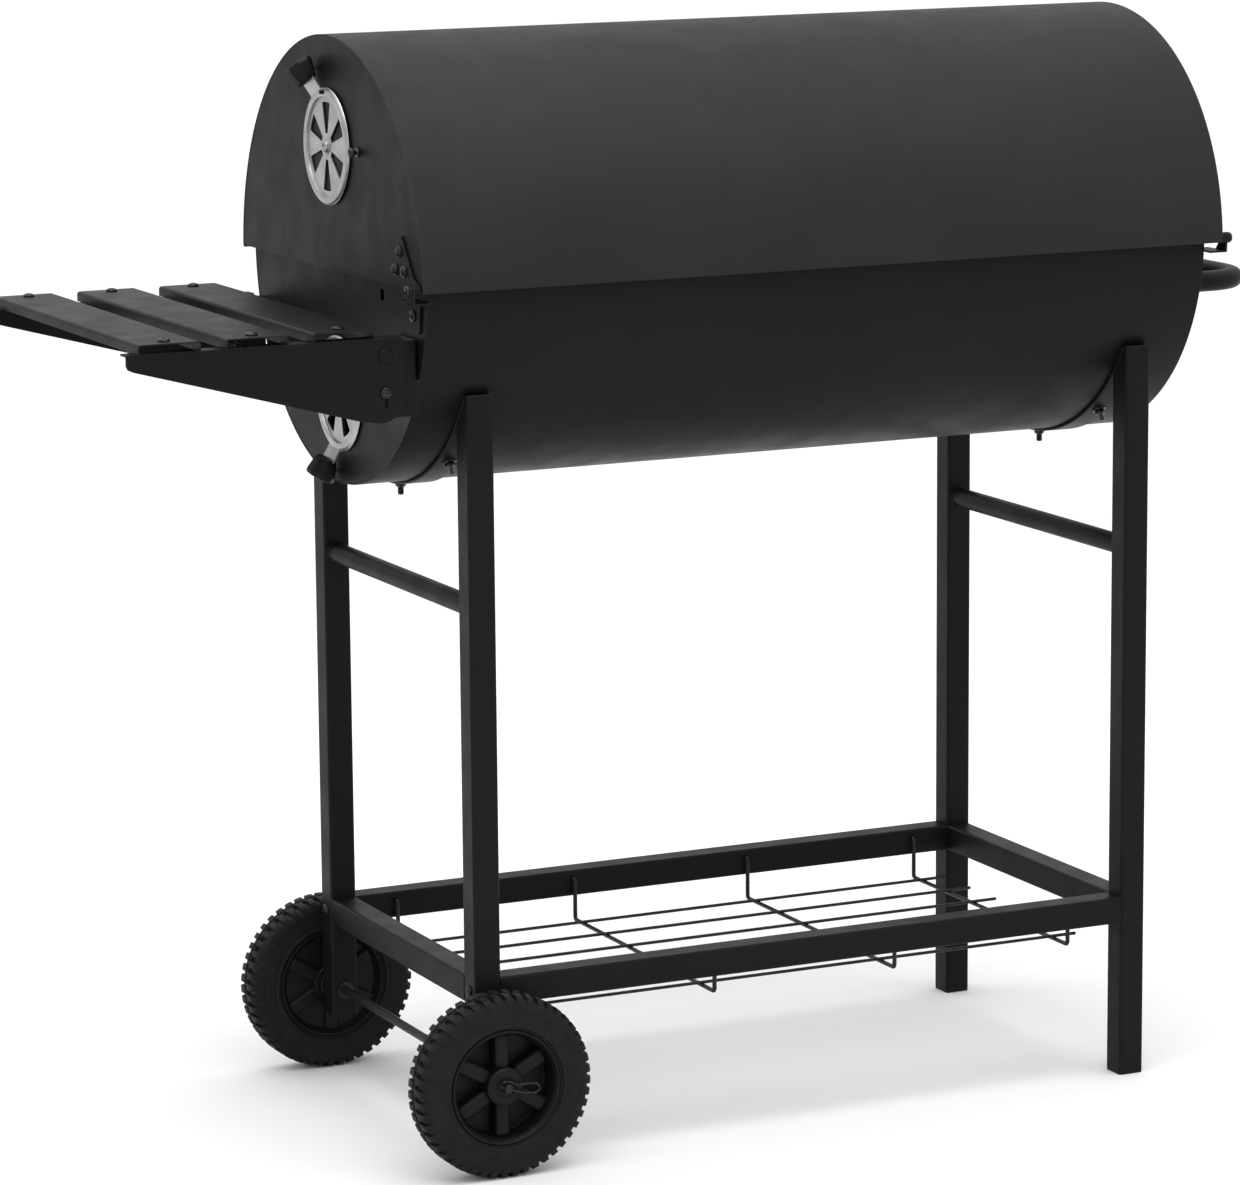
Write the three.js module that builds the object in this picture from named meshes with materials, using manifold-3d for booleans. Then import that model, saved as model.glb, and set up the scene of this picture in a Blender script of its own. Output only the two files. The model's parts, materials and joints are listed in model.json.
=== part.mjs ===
// A barrel charcoal grill on a two-wheeled tube cart, as an assembly of separate pieces.
// Millimetres, +Z up. +Y is the hinge side, -Y the cook's side, +X the end with the side shelf and wheels.
import * as THREE from 'three';
import { mergeVertices } from 'three/addons/utils/BufferGeometryUtils.js';
import Module from 'manifold-3d';

const wasm = await Module();
wasm.setup();

// ---- Driving dimensions ----
const GAP = 0.3; // clearance between pieces that touch
const SHEET = 1.2; // barrel sheet steel
const STRIP = 1.7; // bent strip: hinge leaves, mounts, brackets

const TUBE = 25; // square frame tube, outside
const TUBE_WALL = 1.2;
const FRAME_HALF_LENGTH = 340;
const FRAME_HALF_DEPTH = 178;
const LEG_TOP = 686;
const SHORT_LEG_BOTTOM = 58;
const FOOT_THICKNESS = 3;
const RAIL_TOP = 171;
const CROSS_TUBE_HEIGHT = 498;
const CROSS_TUBE_RADIUS = 9.5;

const DRUM_RADIUS = 198;
const DRUM_HEIGHT = 787; // axis of the round drum wall
const DRUM_HALF_LENGTH = 384;
const DRUM_RIM = 800;
const LID_RADIUS = 208;
const LID_HEIGHT = 777;
const LID_Y = 5;
const LID_HALF_LENGTH = 394;
const LID_RIM = 780;

const HINGE_Y = 205;
const HINGE_HEIGHT = 783;
const HINGE_BARREL = 5; // outside radius of the rolled eyes
const HINGE_PIN = 2.5;
const HINGE_EYE_LENGTH = 5;

const DAMPER_RADIUS = 51.5;
const DAMPER_FIELD = 44; // inside its raised rim
const DAMPER_VANES = 6;
const VANE_ANGLE = THREE.MathUtils.degToRad(26);
const VANE_INNER = 11.5;
const VANE_OUTER = 39;
const LID_DAMPER = [8, 888]; // y and z of its pivot
const DRUM_DAMPER = [0, 669];
const LEVER_LEAN = THREE.MathUtils.degToRad(23); // towards the cook's side
const DRUM_LEVER_LEAN = THREE.MathUtils.degToRad(10); // the same, for the lever that points down
const LEVER_RISE = THREE.MathUtils.degToRad(27); // bent away from the end plate
const LEVER_WIDTH = 22;
const LEVER_BEND = 50;
const LEVER_END = 60;
const KNOB_LENGTH = 19;
const STOP_REACH = 66; // stop screw from the pivot, towards the hinge side

const AXLE_HEIGHT = 82;
const AXLE_RADIUS = 4;
const TYRE_RADIUS = 82;
const TYRE_HALF_WIDTH = 18;
const RIM_RADIUS = 52;
const WHEEL_Y = 200;
const CLIP_Y = 218.5;
const CLIP_TURN = THREE.MathUtils.degToRad(-110);

const SHELF_TOP = 750;
const SLAT_WIDTH = 56;
const SLAT_PITCH = 78;
const SLAT_HALF_LENGTH = 186;
const SLAT_DEPTH = 8.7;
const SLAT_CENTRES = [455, 455 + SLAT_PITCH, 455 + 2 * SLAT_PITCH];
const BRACKET_Y = 179; // outer face
const BRACKET_TOP = 741;
const BRACKET_END = 647;

const HANDLE_HEIGHT = 735;
const HANDLE_X = -470;
const HANDLE_Y = 140;
const HANDLE_RADIUS = 9.5;
const HANDLE_SIDES = 12;

const GRATE_HEIGHT = 756.8;
const GRATE_REACH = 188;
const CHARCOAL_HEIGHT = 690;
const CHARCOAL_REACH = 170.2;
const BAR = 4;

const WIRE = 2;
const THIN_WIRE = 1.5;
const SHELF_WIRE_HEIGHT = 124;
const HOOK_HEIGHT = 163;
const HOOK_XS = [-275, -92, 92, 275];

// The origin lies under the middle of the whole object's box.
const LID_HANDLE_REACH = 247;
const HANDLE_REACH = -HANDLE_X + HANDLE_RADIUS * Math.cos(Math.PI / HANDLE_SIDES); // a flat faces outwards
const CLIP_REACH = CLIP_Y + 3; // the axle's ends
const SHIFT_X = (HANDLE_REACH - BRACKET_END) / 2;
const SHIFT_Y = (LID_HANDLE_REACH - CLIP_REACH) / 2;

// ---- Materials ----
const powderCoat = () => new THREE.MeshStandardMaterial({ color: 0x2e2f30, roughness: 0.55, metalness: 0.2 });
const brightSteel = () => new THREE.MeshStandardMaterial({ color: 0xb9b9b7, roughness: 0.35, metalness: 1 });
const darkBolt = () => new THREE.MeshStandardMaterial({ color: 0x1c1c1c, roughness: 0.4, metalness: 0.6 });
const blackPlastic = () => new THREE.MeshStandardMaterial({ color: 0x151617, roughness: 0.6, metalness: 0 });
const tyreRubber = () => new THREE.MeshStandardMaterial({ color: 0x1b1c1d, roughness: 0.75, metalness: 0 });
const platedRod = () => new THREE.MeshStandardMaterial({ color: 0x2a2a2a, roughness: 0.4, metalness: 0.8 });
const grateSteel = () => new THREE.MeshStandardMaterial({ color: 0x8d8f91, roughness: 0.4, metalness: 1 });

// ---- Joining and cutting ----
function toSolid(geometry) {
  const plain = geometry.clone();
  plain.deleteAttribute('normal');
  plain.deleteAttribute('uv');
  const merged = mergeVertices(plain, 1e-4);
  const mesh = new wasm.Mesh({
    numProp: 3,
    vertProperties: new Float32Array(merged.attributes.position.array),
    triVerts: new Uint32Array(merged.index.array),
  });
  return new wasm.Manifold(mesh);
}

function fromSolid(manifold) {
  const mesh = manifold.getMesh();
  const geometry = new THREE.BufferGeometry();
  geometry.setAttribute('position', new THREE.BufferAttribute(new Float32Array(mesh.vertProperties), 3));
  geometry.setIndex(new THREE.BufferAttribute(new Uint32Array(mesh.triVerts), 1));
  return geometry;
}

const join = (...geometries) => fromSolid(geometries.map(toSolid).reduce((a, b) => a.add(b)));
const cut = (body, ...tools) => fromSolid(tools.map(toSolid).reduce((a, b) => a.subtract(b), toSolid(body)));

// ---- Outlines and extrusions ----
function polygon(points) {
  return new THREE.Shape(points.map(([a, b]) => new THREE.Vector2(a, b)));
}

function disc(radius, sides, a = 0, b = 0) {
  const points = [];
  for (let i = 0; i < sides; i += 1) {
    const angle = (2 * Math.PI * (i + 0.5)) / sides;
    points.push([a + radius * Math.cos(angle), b + radius * Math.sin(angle)]);
  }
  return polygon(points);
}

// Part of a ring between two angles, counted anticlockwise from the first outline axis.
function ringSector(outer, inner, start, end, steps, a = 0, b = 0) {
  const points = [];
  for (let i = 0; i <= steps; i += 1) {
    const angle = start + ((end - start) * i) / steps;
    points.push([a + outer * Math.cos(angle), b + outer * Math.sin(angle)]);
  }
  for (let i = steps; i >= 0; i -= 1) {
    const angle = start + ((end - start) * i) / steps;
    points.push([a + inner * Math.cos(angle), b + inner * Math.sin(angle)]);
  }
  return polygon(points);
}

// A disc cut straight across between two angles.
function discSegment(radius, start, end, steps, a, b) {
  const points = [];
  for (let i = 0; i <= steps; i += 1) {
    const angle = start + ((end - start) * i) / steps;
    points.push([a + radius * Math.cos(angle), b + radius * Math.sin(angle)]);
  }
  return polygon(points);
}

const extrudeZ = (shape, from, to) =>
  new THREE.ExtrudeGeometry(shape, { depth: to - from, bevelEnabled: false }).translate(0, 0, from);

// The outline is drawn in y and z.
const ALONG_X = new THREE.Matrix4().makeBasis(
  new THREE.Vector3(0, 1, 0), new THREE.Vector3(0, 0, 1), new THREE.Vector3(1, 0, 0));
const extrudeX = (shape, from, to) => extrudeZ(shape, 0, to - from)
  .applyMatrix4(ALONG_X)
  .translate(from, 0, 0);

// The outline is drawn in x and z.
const extrudeY = (shape, from, to) => extrudeZ(shape, 0, to - from).rotateX(Math.PI / 2).translate(0, to, 0);

function block(x0, x1, y0, y1, z0, z1) {
  return new THREE.BoxGeometry(x1 - x0, y1 - y0, z1 - z0)
    .translate((x0 + x1) / 2, (y0 + y1) / 2, (z0 + z1) / 2);
}

// A pair of low and high values on the +X side, moved to the other end when side is -1.
const span = (side, near, far) => (side > 0 ? [near, far] : [-far, -near]);

// A path with rounded corners.
function roundedPath(points, radius) {
  const path = new THREE.CurvePath();
  let from = points[0];
  for (let i = 1; i < points.length - 1; i += 1) {
    const corner = points[i];
    const before = corner.clone().add(points[i - 1].clone().sub(corner).setLength(radius));
    const after = corner.clone().add(points[i + 1].clone().sub(corner).setLength(radius));
    path.add(new THREE.LineCurve3(from, before));
    path.add(new THREE.QuadraticBezierCurve3(before, corner, after));
    from = after;
  }
  path.add(new THREE.LineCurve3(from, points[points.length - 1]));
  return path;
}

function rod(points, bend, radius, sides, steps) {
  const path = roundedPath(points.map((p) => new THREE.Vector3(...p)), bend);
  return new THREE.ExtrudeGeometry(disc(radius, sides), { steps, bevelEnabled: false, extrudePath: path });
}

const group = new THREE.Group();
const grill = new THREE.Group();
grill.position.set(SHIFT_X, SHIFT_Y, 0);
group.add(grill);

function add(name, geometry, material) {
  const mesh = new THREE.Mesh(geometry, material);
  mesh.name = name;
  grill.add(mesh);
}

// ---- Barrel: drum below, lid above ----
const drumLift = Math.asin((DRUM_RIM - DRUM_HEIGHT) / DRUM_RADIUS);
const lidLift = Math.asin((LID_RIM - LID_HEIGHT) / LID_RADIUS);
const drumEnd = DRUM_HALF_LENGTH - SHEET - GAP;
const lidEnd = LID_HALF_LENGTH - SHEET - GAP;

// The six openings of a vent, as cutters along X.
function vaneCutters(centre, from, to, turn) {
  const cutters = [];
  for (let i = 0; i < DAMPER_VANES; i += 1) {
    const start = turn + Math.PI / 2 + (i * 2 * Math.PI) / DAMPER_VANES - VANE_ANGLE / 2;
    const shape = ringSector(VANE_OUTER, VANE_INNER, start, start + VANE_ANGLE, 3, ...centre);
    cutters.push(extrudeX(shape, from, to));
  }
  return cutters;
}

// Holes for a damper's pivot screw and stop screw.
function screwHoles([y, z], from, to) {
  const centres = [[y, z], [y + STOP_REACH, z]];
  return centres.map((centre) => extrudeX(disc(2.5, 12, ...centre), from - 5, to + 5));
}

function makeDrumShell() {
  const outline = ringSector(DRUM_RADIUS, DRUM_RADIUS - SHEET,
    Math.PI - drumLift, 2 * Math.PI + drumLift, 40, 0, DRUM_HEIGHT);
  return extrudeX(outline, -drumEnd, drumEnd);
}

function makeDrumEnd(side) {
  const [from, to] = span(side, DRUM_HALF_LENGTH - SHEET, DRUM_HALF_LENGTH);
  const outline = discSegment(DRUM_RADIUS, Math.PI - drumLift, 2 * Math.PI + drumLift, 40, 0, DRUM_HEIGHT);
  const plate = extrudeX(outline, from, to);
  const lockHole = block(from - 5, to + 5, 95, 103, 762, 772);
  if (side < 0) {
    return cut(plate, lockHole);
  }
  // These openings line up with the damper's, so the lower vent starts open.
  return cut(plate, lockHole, ...screwHoles(DRUM_DAMPER, from, to),
    ...vaneCutters(DRUM_DAMPER, from - 5, to + 5, Math.PI - DRUM_LEVER_LEAN - LEVER_LEAN));
}

function makeLidShell() {
  const inner = LID_RADIUS - SHEET;
  const outline = ringSector(LID_RADIUS, inner, lidLift, Math.PI - lidLift, 40, LID_Y, LID_HEIGHT);
  return extrudeX(outline, -lidEnd, lidEnd);
}

function makeLidEnd(side) {
  const [from, to] = span(side, LID_HALF_LENGTH - SHEET, LID_HALF_LENGTH);
  const outline = discSegment(LID_RADIUS, lidLift, Math.PI - lidLift, 40, LID_Y, LID_HEIGHT);
  const plate = extrudeX(outline, from, to);
  if (side < 0) {
    return plate;
  }
  // These openings sit half a pitch round from the damper's, so the upper vent starts shut.
  const halfPitch = Math.PI / DAMPER_VANES;
  return cut(plate, ...screwHoles(LID_DAMPER, from, to),
    ...vaneCutters(LID_DAMPER, from - 5, to + 5, halfPitch));
}

add('drum_shell', makeDrumShell(), powderCoat());
add('lid_shell', makeLidShell(), powderCoat());
for (const [side, word] of [[1, 'shelf'], [-1, 'handle']]) {
  add(`drum_end_${word}_side`, makeDrumEnd(side), powderCoat());
  add(`lid_end_${word}_side`, makeLidEnd(side), powderCoat());
}

// Bar handle across the cook's side of the lid.
function makeLidHandle() {
  const height = 822;
  const radius = 7;
  const reach = LID_HANDLE_REACH - radius;
  // The lid's wall is furthest out at the handle's underside.
  const rise = height - radius - LID_HEIGHT;
  const root = Math.sqrt(LID_RADIUS ** 2 - rise ** 2) - LID_Y + GAP;
  return rod([[-130, -root, height], [-130, -reach, height], [130, -reach, height], [130, -root, height]],
    18, radius, 10, 33);
}
add('lid_handle', makeLidHandle(), powderCoat());

// Small angles on the drum's cook side that the closed lid rests on.
function makeLidRest(x) {
  const face = -DRUM_RADIUS - GAP - 0.2;
  const foot = block(x - 15, x + 15, face - 9, face, LID_RIM - GAP - STRIP, LID_RIM - GAP);
  const back = block(x - 15, x + 15, face - STRIP, face, LID_RIM - 16, LID_RIM - GAP);
  return join(foot, back);
}
add('lid_rest_shelf_side', makeLidRest(250), powderCoat());
add('lid_rest_handle_side', makeLidRest(-250), powderCoat());

// ---- Hinges ----
function makeHingeEye(side, near, far) {
  const [from, to] = span(side, near, far);
  return extrudeX(disc(HINGE_BARREL, 16, HINGE_Y, HINGE_HEIGHT), from, to);
}

function makeHingeBore(side) {
  const [from, to] = span(side, LID_HALF_LENGTH - 4, LID_HALF_LENGTH + 20);
  return extrudeX(disc(HINGE_PIN + 0.35, 12, HINGE_Y, HINGE_HEIGHT), from, to);
}

function makeLidLeaf(side) {
  const face = LID_HALF_LENGTH + GAP;
  const [from, to] = span(side, face, face + STRIP);
  const outline = polygon([[148, 792], [152, 786], [HINGE_Y, HINGE_HEIGHT - 1],
    [HINGE_Y + 3, HINGE_HEIGHT + 3], [194, 792], [171, 824], [165, 824]]);
  const leaf = extrudeX(outline, from, to);
  return cut(join(leaf, makeHingeEye(side, face, face + HINGE_EYE_LENGTH)), makeHingeBore(side));
}

function makeDrumLeaf(side) {
  const face = DRUM_HALF_LENGTH + GAP;
  const eyeStart = LID_HALF_LENGTH + 2 * GAP + HINGE_EYE_LENGTH;
  const [flatFrom, flatTo] = span(side, face, face + STRIP);
  const [stepFrom, stepTo] = span(side, face, eyeStart + STRIP);
  const [webFrom, webTo] = span(side, eyeStart, eyeStart + STRIP);
  const flat = extrudeX(polygon([[154, 742], [184, 742], [187, 771], [156, 771]]), flatFrom, flatTo);
  const step = block(stepFrom, stepTo, 158, 209, 770, 770 + STRIP);
  const webOutline = [[190, 770], [209, 770], [HINGE_Y + 4, HINGE_HEIGHT], [HINGE_Y - 4, HINGE_HEIGHT]];
  const web = extrudeX(polygon(webOutline), webFrom, webTo);
  const eye = makeHingeEye(side, eyeStart, eyeStart + HINGE_EYE_LENGTH);
  return cut(join(flat, step, web, eye), makeHingeBore(side));
}

function makeHingePin(side) {
  const start = LID_HALF_LENGTH + GAP + 0.1;
  const end = LID_HALF_LENGTH + 3 * GAP + 2 * HINGE_EYE_LENGTH;
  const [from, to] = span(side, start, end + 1);
  const [headFrom, headTo] = span(side, end, end + 2);
  return join(extrudeX(disc(HINGE_PIN, 12, HINGE_Y, HINGE_HEIGHT), from, to),
    extrudeX(disc(4.5, 12, HINGE_Y, HINGE_HEIGHT), headFrom, headTo));
}

for (const [side, word] of [[1, 'shelf'], [-1, 'handle']]) {
  add(`hinge_lid_leaf_${word}_side`, makeLidLeaf(side), powderCoat());
  add(`hinge_drum_leaf_${word}_side`, makeDrumLeaf(side), powderCoat());
  add(`hinge_pin_${word}_side`, makeHingePin(side), darkBolt());
}

// ---- Dampers: a pressed disc with a lever and a knob, on the +X end plates ----
// Built with the pivot at the origin, the lever pointing up +Z and the plate's face at x = 0.
function makeDamperDisc() {
  const field = extrudeX(disc(DAMPER_RADIUS, 40), GAP, GAP + 1.5);
  const rim = cut(extrudeX(disc(DAMPER_RADIUS, 40), GAP, GAP + 2.7),
    extrudeX(disc(DAMPER_FIELD, 40), GAP + 1.5, GAP + 5));
  const pivotHole = extrudeX(disc(2.5, 12), -5, 9);
  const rise = Math.tan(LEVER_RISE);
  const tongue = LEVER_END - LEVER_BEND;
  const out = (radius) => GAP + (radius - LEVER_BEND) * rise;
  const wide = extrudeY(polygon([[GAP, 43], [GAP, LEVER_BEND], [out(LEVER_END), LEVER_BEND + tongue],
    [out(LEVER_END) + 1.6, LEVER_BEND + tongue], [GAP + 1.5, LEVER_BEND], [GAP + 1.5, 43]]),
  -LEVER_WIDTH / 2, LEVER_WIDTH / 2);
  const tangEnd = LEVER_END + 11.5;
  const tang = extrudeY(polygon([[out(LEVER_END - 4), LEVER_END - 4], [out(tangEnd), tangEnd],
    [out(tangEnd) + 1.6, tangEnd], [out(LEVER_END - 4) + 1.6, LEVER_END - 4]]), -5, 5);
  // After the lever leans over, one opening points straight up.
  return cut(join(field, rim, wide, tang), pivotHole, ...vaneCutters([0, 0], -5, 9, -LEVER_LEAN));
}

function makeDamperKnob() {
  const profile = [[0, 0], [6.5, 0], [9, 5.5], [13.8, KNOB_LENGTH - 3], [12.6, KNOB_LENGTH],
    [0, KNOB_LENGTH]];
  const body = new THREE.LatheGeometry(profile.map(([r, h]) => new THREE.Vector2(r, h)), 12);
  const socket = block(-1.4, 1.4, -5.5, 5.5, -1, 15.5);
  const knob = cut(body.rotateX(Math.PI / 2), socket);
  const start = LEVER_END + 0.6;
  const out = GAP + 0.8 + (start - LEVER_BEND) * Math.tan(LEVER_RISE);
  return knob.rotateY(LEVER_RISE).translate(out, 0, start);
}

// Pan-head screw along +X, with its head outside.
function makeScrew(x, y, z, inside, outside, shank, head) {
  return join(extrudeX(disc(shank, 10, y, z), x - inside, x + outside + 0.5),
    extrudeX(disc(head, 12, y, z), x + outside, x + outside + 2.5));
}

function addDamper(word, face, [y, z], pointing) {
  const turn = pointing > 0 ? LEVER_LEAN : Math.PI - DRUM_LEVER_LEAN;
  add(`${word}_damper`, makeDamperDisc().rotateX(turn).translate(face, y, z), brightSteel());
  add(`${word}_damper_knob`, makeDamperKnob().rotateX(turn).translate(face, y, z), blackPlastic());
  add(`${word}_damper_pivot_screw`, makeScrew(face, y, z, 4, 2.3, 2, 5), brightSteel());
  add(`${word}_damper_stop_screw`, makeScrew(face, y + STOP_REACH, z, 4, 5.5, 2, 4.5), darkBolt());
}
addDamper('lid', LID_HALF_LENGTH, LID_DAMPER, 1);
addDamper('drum', DRUM_HALF_LENGTH, DRUM_DAMPER, -1);

// ---- Grates and their ledges, inside the barrel ----
function makeLedge(side) {
  const points = [[190.5, 740], [193.9, 756.5], [180, 756.5], [180, 755], [192.2, 755], [189.1, 740]];
  const outline = side > 0 ? polygon(points) : polygon(points.map(([y, z]) => [-y, z]).reverse());
  return extrudeX(outline, -370, 370);
}
add('grate_ledge_hinge_side', makeLedge(1), powderCoat());
add('grate_ledge_cook_side', makeLedge(-1), powderCoat());

// Parallel bars across Y inside a rim of the same bar.
function makeGrate(x0, x1, halfDepth, z, pitch) {
  const count = Math.round((x1 - x0 - BAR) / pitch);
  const step = (x1 - x0 - BAR) / count;
  const end = halfDepth - BAR;
  const slots = [];
  for (let i = 0; i < count; i += 1) {
    slots.push(block(x0 + i * step + BAR, x0 + (i + 1) * step, -end, end, z - 1, z + BAR + 1));
  }
  return cut(block(x0, x1, -halfDepth, halfDepth, z, z + BAR), ...slots);
}
add('cooking_grate_shelf_side', makeGrate(3, 375, GRATE_REACH, GRATE_HEIGHT, 20), grateSteel());
add('cooking_grate_handle_side', makeGrate(-375, -3, GRATE_REACH, GRATE_HEIGHT, 20), grateSteel());
add('charcoal_grate', makeGrate(-370, 370, CHARCOAL_REACH, CHARCOAL_HEIGHT, 30), powderCoat());

// ---- Cart frame ----
const inner = FRAME_HALF_LENGTH - TUBE;
const innerDepth = FRAME_HALF_DEPTH - TUBE;
const SADDLE_RADIUS = DRUM_RADIUS + GAP;
const SADDLE_THICKNESS = 2.5;

function hollowSquare(a, b) {
  const half = TUBE / 2;
  const shape = polygon([[a - half, b - half], [a + half, b - half],
    [a + half, b + half], [a - half, b + half]]);
  const bore = half - TUBE_WALL;
  shape.holes.push(new THREE.Path([[-bore, -bore], [-bore, bore], [bore, bore], [bore, -bore]]
    .map(([u, v]) => new THREE.Vector2(a + u, b + v))));
  return shape;
}

function makeLeg(x, y, bottom, hasAxle) {
  const tube = extrudeZ(hollowSquare(x, y), bottom, LEG_TOP);
  const saddleOutside = disc(SADDLE_RADIUS + SADDLE_THICKNESS + GAP, 96, 0, DRUM_HEIGHT);
  const saddleRoom = extrudeX(saddleOutside, x - TUBE, x + TUBE);
  const cope = cut(tube, saddleRoom);
  if (!hasAxle) {
    return cope;
  }
  return cut(cope, extrudeY(disc(AXLE_RADIUS + 0.4, 12, x, AXLE_HEIGHT), y - TUBE, y + TUBE));
}

function addLegPair(word, x, bottom, hasAxle) {
  const y = FRAME_HALF_DEPTH - TUBE / 2;
  add(`leg_hinge_side_${word}_end`, makeLeg(x, y, bottom, hasAxle), powderCoat());
  add(`leg_cook_side_${word}_end`, makeLeg(x, -y, bottom, hasAxle), powderCoat());
}
addLegPair('shelf', FRAME_HALF_LENGTH - TUBE / 2, SHORT_LEG_BOTTOM, true);
addLegPair('handle', -FRAME_HALF_LENGTH + TUBE / 2, FOOT_THICKNESS + GAP, false);

function makeFootCap(y) {
  const x = -FRAME_HALF_LENGTH + TUBE / 2;
  const half = TUBE / 2;
  const plug = half - TUBE_WALL - GAP;
  return join(block(x - half, x + half, y - half, y + half, 0, FOOT_THICKNESS),
    block(x - plug, x + plug, y - plug, y + plug, 1, 18));
}
add('foot_cap_hinge_side', makeFootCap(FRAME_HALF_DEPTH - TUBE / 2), blackPlastic());
add('foot_cap_cook_side', makeFootCap(-FRAME_HALF_DEPTH + TUBE / 2), blackPlastic());

function makeSaddle(x) {
  const top = Math.asin((DRUM_HEIGHT - LEG_TOP + 2) / SADDLE_RADIUS);
  const outline = ringSector(SADDLE_RADIUS + SADDLE_THICKNESS, SADDLE_RADIUS,
    Math.PI + top, 2 * Math.PI - top, 28, 0, DRUM_HEIGHT);
  return extrudeX(outline, x - TUBE / 2, x + TUBE / 2);
}
add('saddle_shelf_end', makeSaddle(FRAME_HALF_LENGTH - TUBE / 2), powderCoat());
add('saddle_handle_end', makeSaddle(-FRAME_HALF_LENGTH + TUBE / 2), powderCoat());

function makeCrossTube(x) {
  const shape = disc(CROSS_TUBE_RADIUS, 16, x, CROSS_TUBE_HEIGHT);
  const bore = disc(CROSS_TUBE_RADIUS - TUBE_WALL, 16, x, CROSS_TUBE_HEIGHT);
  shape.holes.push(new THREE.Path(bore.getPoints().reverse()));
  return extrudeY(shape, -innerDepth + GAP, innerDepth - GAP);
}
add('cross_tube_shelf_end', makeCrossTube(FRAME_HALF_LENGTH - TUBE / 2), powderCoat());
add('cross_tube_handle_end', makeCrossTube(-FRAME_HALF_LENGTH + TUBE / 2), powderCoat());

function makeLongRail(y) {
  const tube = extrudeX(hollowSquare(y, RAIL_TOP - TUBE / 2), -inner + GAP, inner - GAP);
  const hookWall = y > 0 ? [y - TUBE, y] : [y, y + TUBE];
  const holes = HOOK_XS.map((x) => extrudeY(disc(WIRE + 0.5, 10, x, HOOK_HEIGHT), ...hookWall));
  return cut(tube, ...holes);
}
add('rail_hinge_side', makeLongRail(FRAME_HALF_DEPTH - TUBE / 2), powderCoat());
add('rail_cook_side', makeLongRail(-FRAME_HALF_DEPTH + TUBE / 2), powderCoat());

function makeEndRail(x) {
  return extrudeY(hollowSquare(x, RAIL_TOP - TUBE / 2), -innerDepth + GAP, innerDepth - GAP);
}
add('rail_shelf_end', makeEndRail(FRAME_HALF_LENGTH - TUBE / 2), powderCoat());
add('rail_handle_end', makeEndRail(-FRAME_HALF_LENGTH + TUBE / 2), powderCoat());

// A straight round bar between two points.
function straightBar(from, to, radius, sides) {
  const start = new THREE.Vector3(...from);
  const along = new THREE.Vector3(...to).sub(start);
  const turn = new THREE.Quaternion()
    .setFromUnitVectors(new THREE.Vector3(0, 1, 0), along.clone().normalize());
  return new THREE.CylinderGeometry(radius, radius, along.length(), sides)
    .translate(0, along.length() / 2, 0)
    .applyQuaternion(turn)
    .translate(start.x, start.y, start.z);
}

// Wire tray hung by its hooked ends in the long rails.
function makeWireTray() {
  const hookReach = innerDepth + TUBE_WALL + 4;
  const drop = innerDepth - 4.5;
  const wires = [];
  for (const x of HOOK_XS) {
    const across = drop + WIRE;
    wires.push(straightBar([x, -across, SHELF_WIRE_HEIGHT], [x, across, SHELF_WIRE_HEIGHT], WIRE, 8));
    for (const side of [1, -1]) {
      const y = side * drop;
      const hookStart = side * (drop - WIRE + 0.2);
      const [low, high] = [SHELF_WIRE_HEIGHT - WIRE + 0.2, HOOK_HEIGHT + WIRE - 0.2];
      wires.push(straightBar([x, y, low], [x, y, high], WIRE, 8));
      wires.push(straightBar([x, hookStart, HOOK_HEIGHT], [x, side * hookReach, HOOK_HEIGHT], WIRE, 8));
    }
  }
  const height = SHELF_WIRE_HEIGHT + WIRE + THIN_WIRE - 0.5;
  for (const y of [-125, -75, -25, 25, 75, 125]) {
    wires.push(extrudeX(disc(THIN_WIRE, 6, y, height), -297, 297));
  }
  return join(...wires);
}
add('wire_tray', makeWireTray(), platedRod());

// ---- Axle and wheels ----
function makeAxle() {
  const x = FRAME_HALF_LENGTH - TUBE / 2;
  const shaft = extrudeY(disc(AXLE_RADIUS, 16, x, AXLE_HEIGHT), -CLIP_REACH, CLIP_REACH);
  const clipHoles = [CLIP_Y, -CLIP_Y].map((y) => new THREE.CylinderGeometry(1.4, 1.4, 12, 10)
    .rotateX(Math.PI / 2).rotateY(CLIP_TURN).translate(x, y, AXLE_HEIGHT));
  return cut(shaft, ...clipHoles);
}

// Hairpin clip: a straight leg through the axle and a bowed leg round it.
function makeClip(y) {
  const route = [[0, -9, 0], [0, 16, 0], [2, 25, 0], [7, 29, 0], [11, 25, 0],
    [9, 17, 0], [5, 9, 0], [6.2, 0, 0], [5, -6, 0]];
  const path = new THREE.CatmullRomCurve3(route.map((p) => new THREE.Vector3(...p)));
  const clip = new THREE.ExtrudeGeometry(disc(1, 6), { steps: 26, bevelEnabled: false, extrudePath: path });
  return clip.rotateX(Math.PI / 2).rotateY(CLIP_TURN).translate(FRAME_HALF_LENGTH - TUBE / 2, y, AXLE_HEIGHT);
}

function makeTyre(y) {
  const w = TYRE_HALF_WIDTH;
  const half = [[RIM_RADIUS, w - 3], [56, w - 1], [70, w], [78, w - 3], [TYRE_RADIUS, w - 8]];
  const profile = [...half, ...half.map(([r, h]) => [r, -h]).reverse(), half[0]];
  return new THREE.LatheGeometry(profile.reverse().map(([r, h]) => new THREE.Vector2(r, h)), 36)
    .translate(FRAME_HALF_LENGTH - TUBE / 2, y, AXLE_HEIGHT);
}

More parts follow.
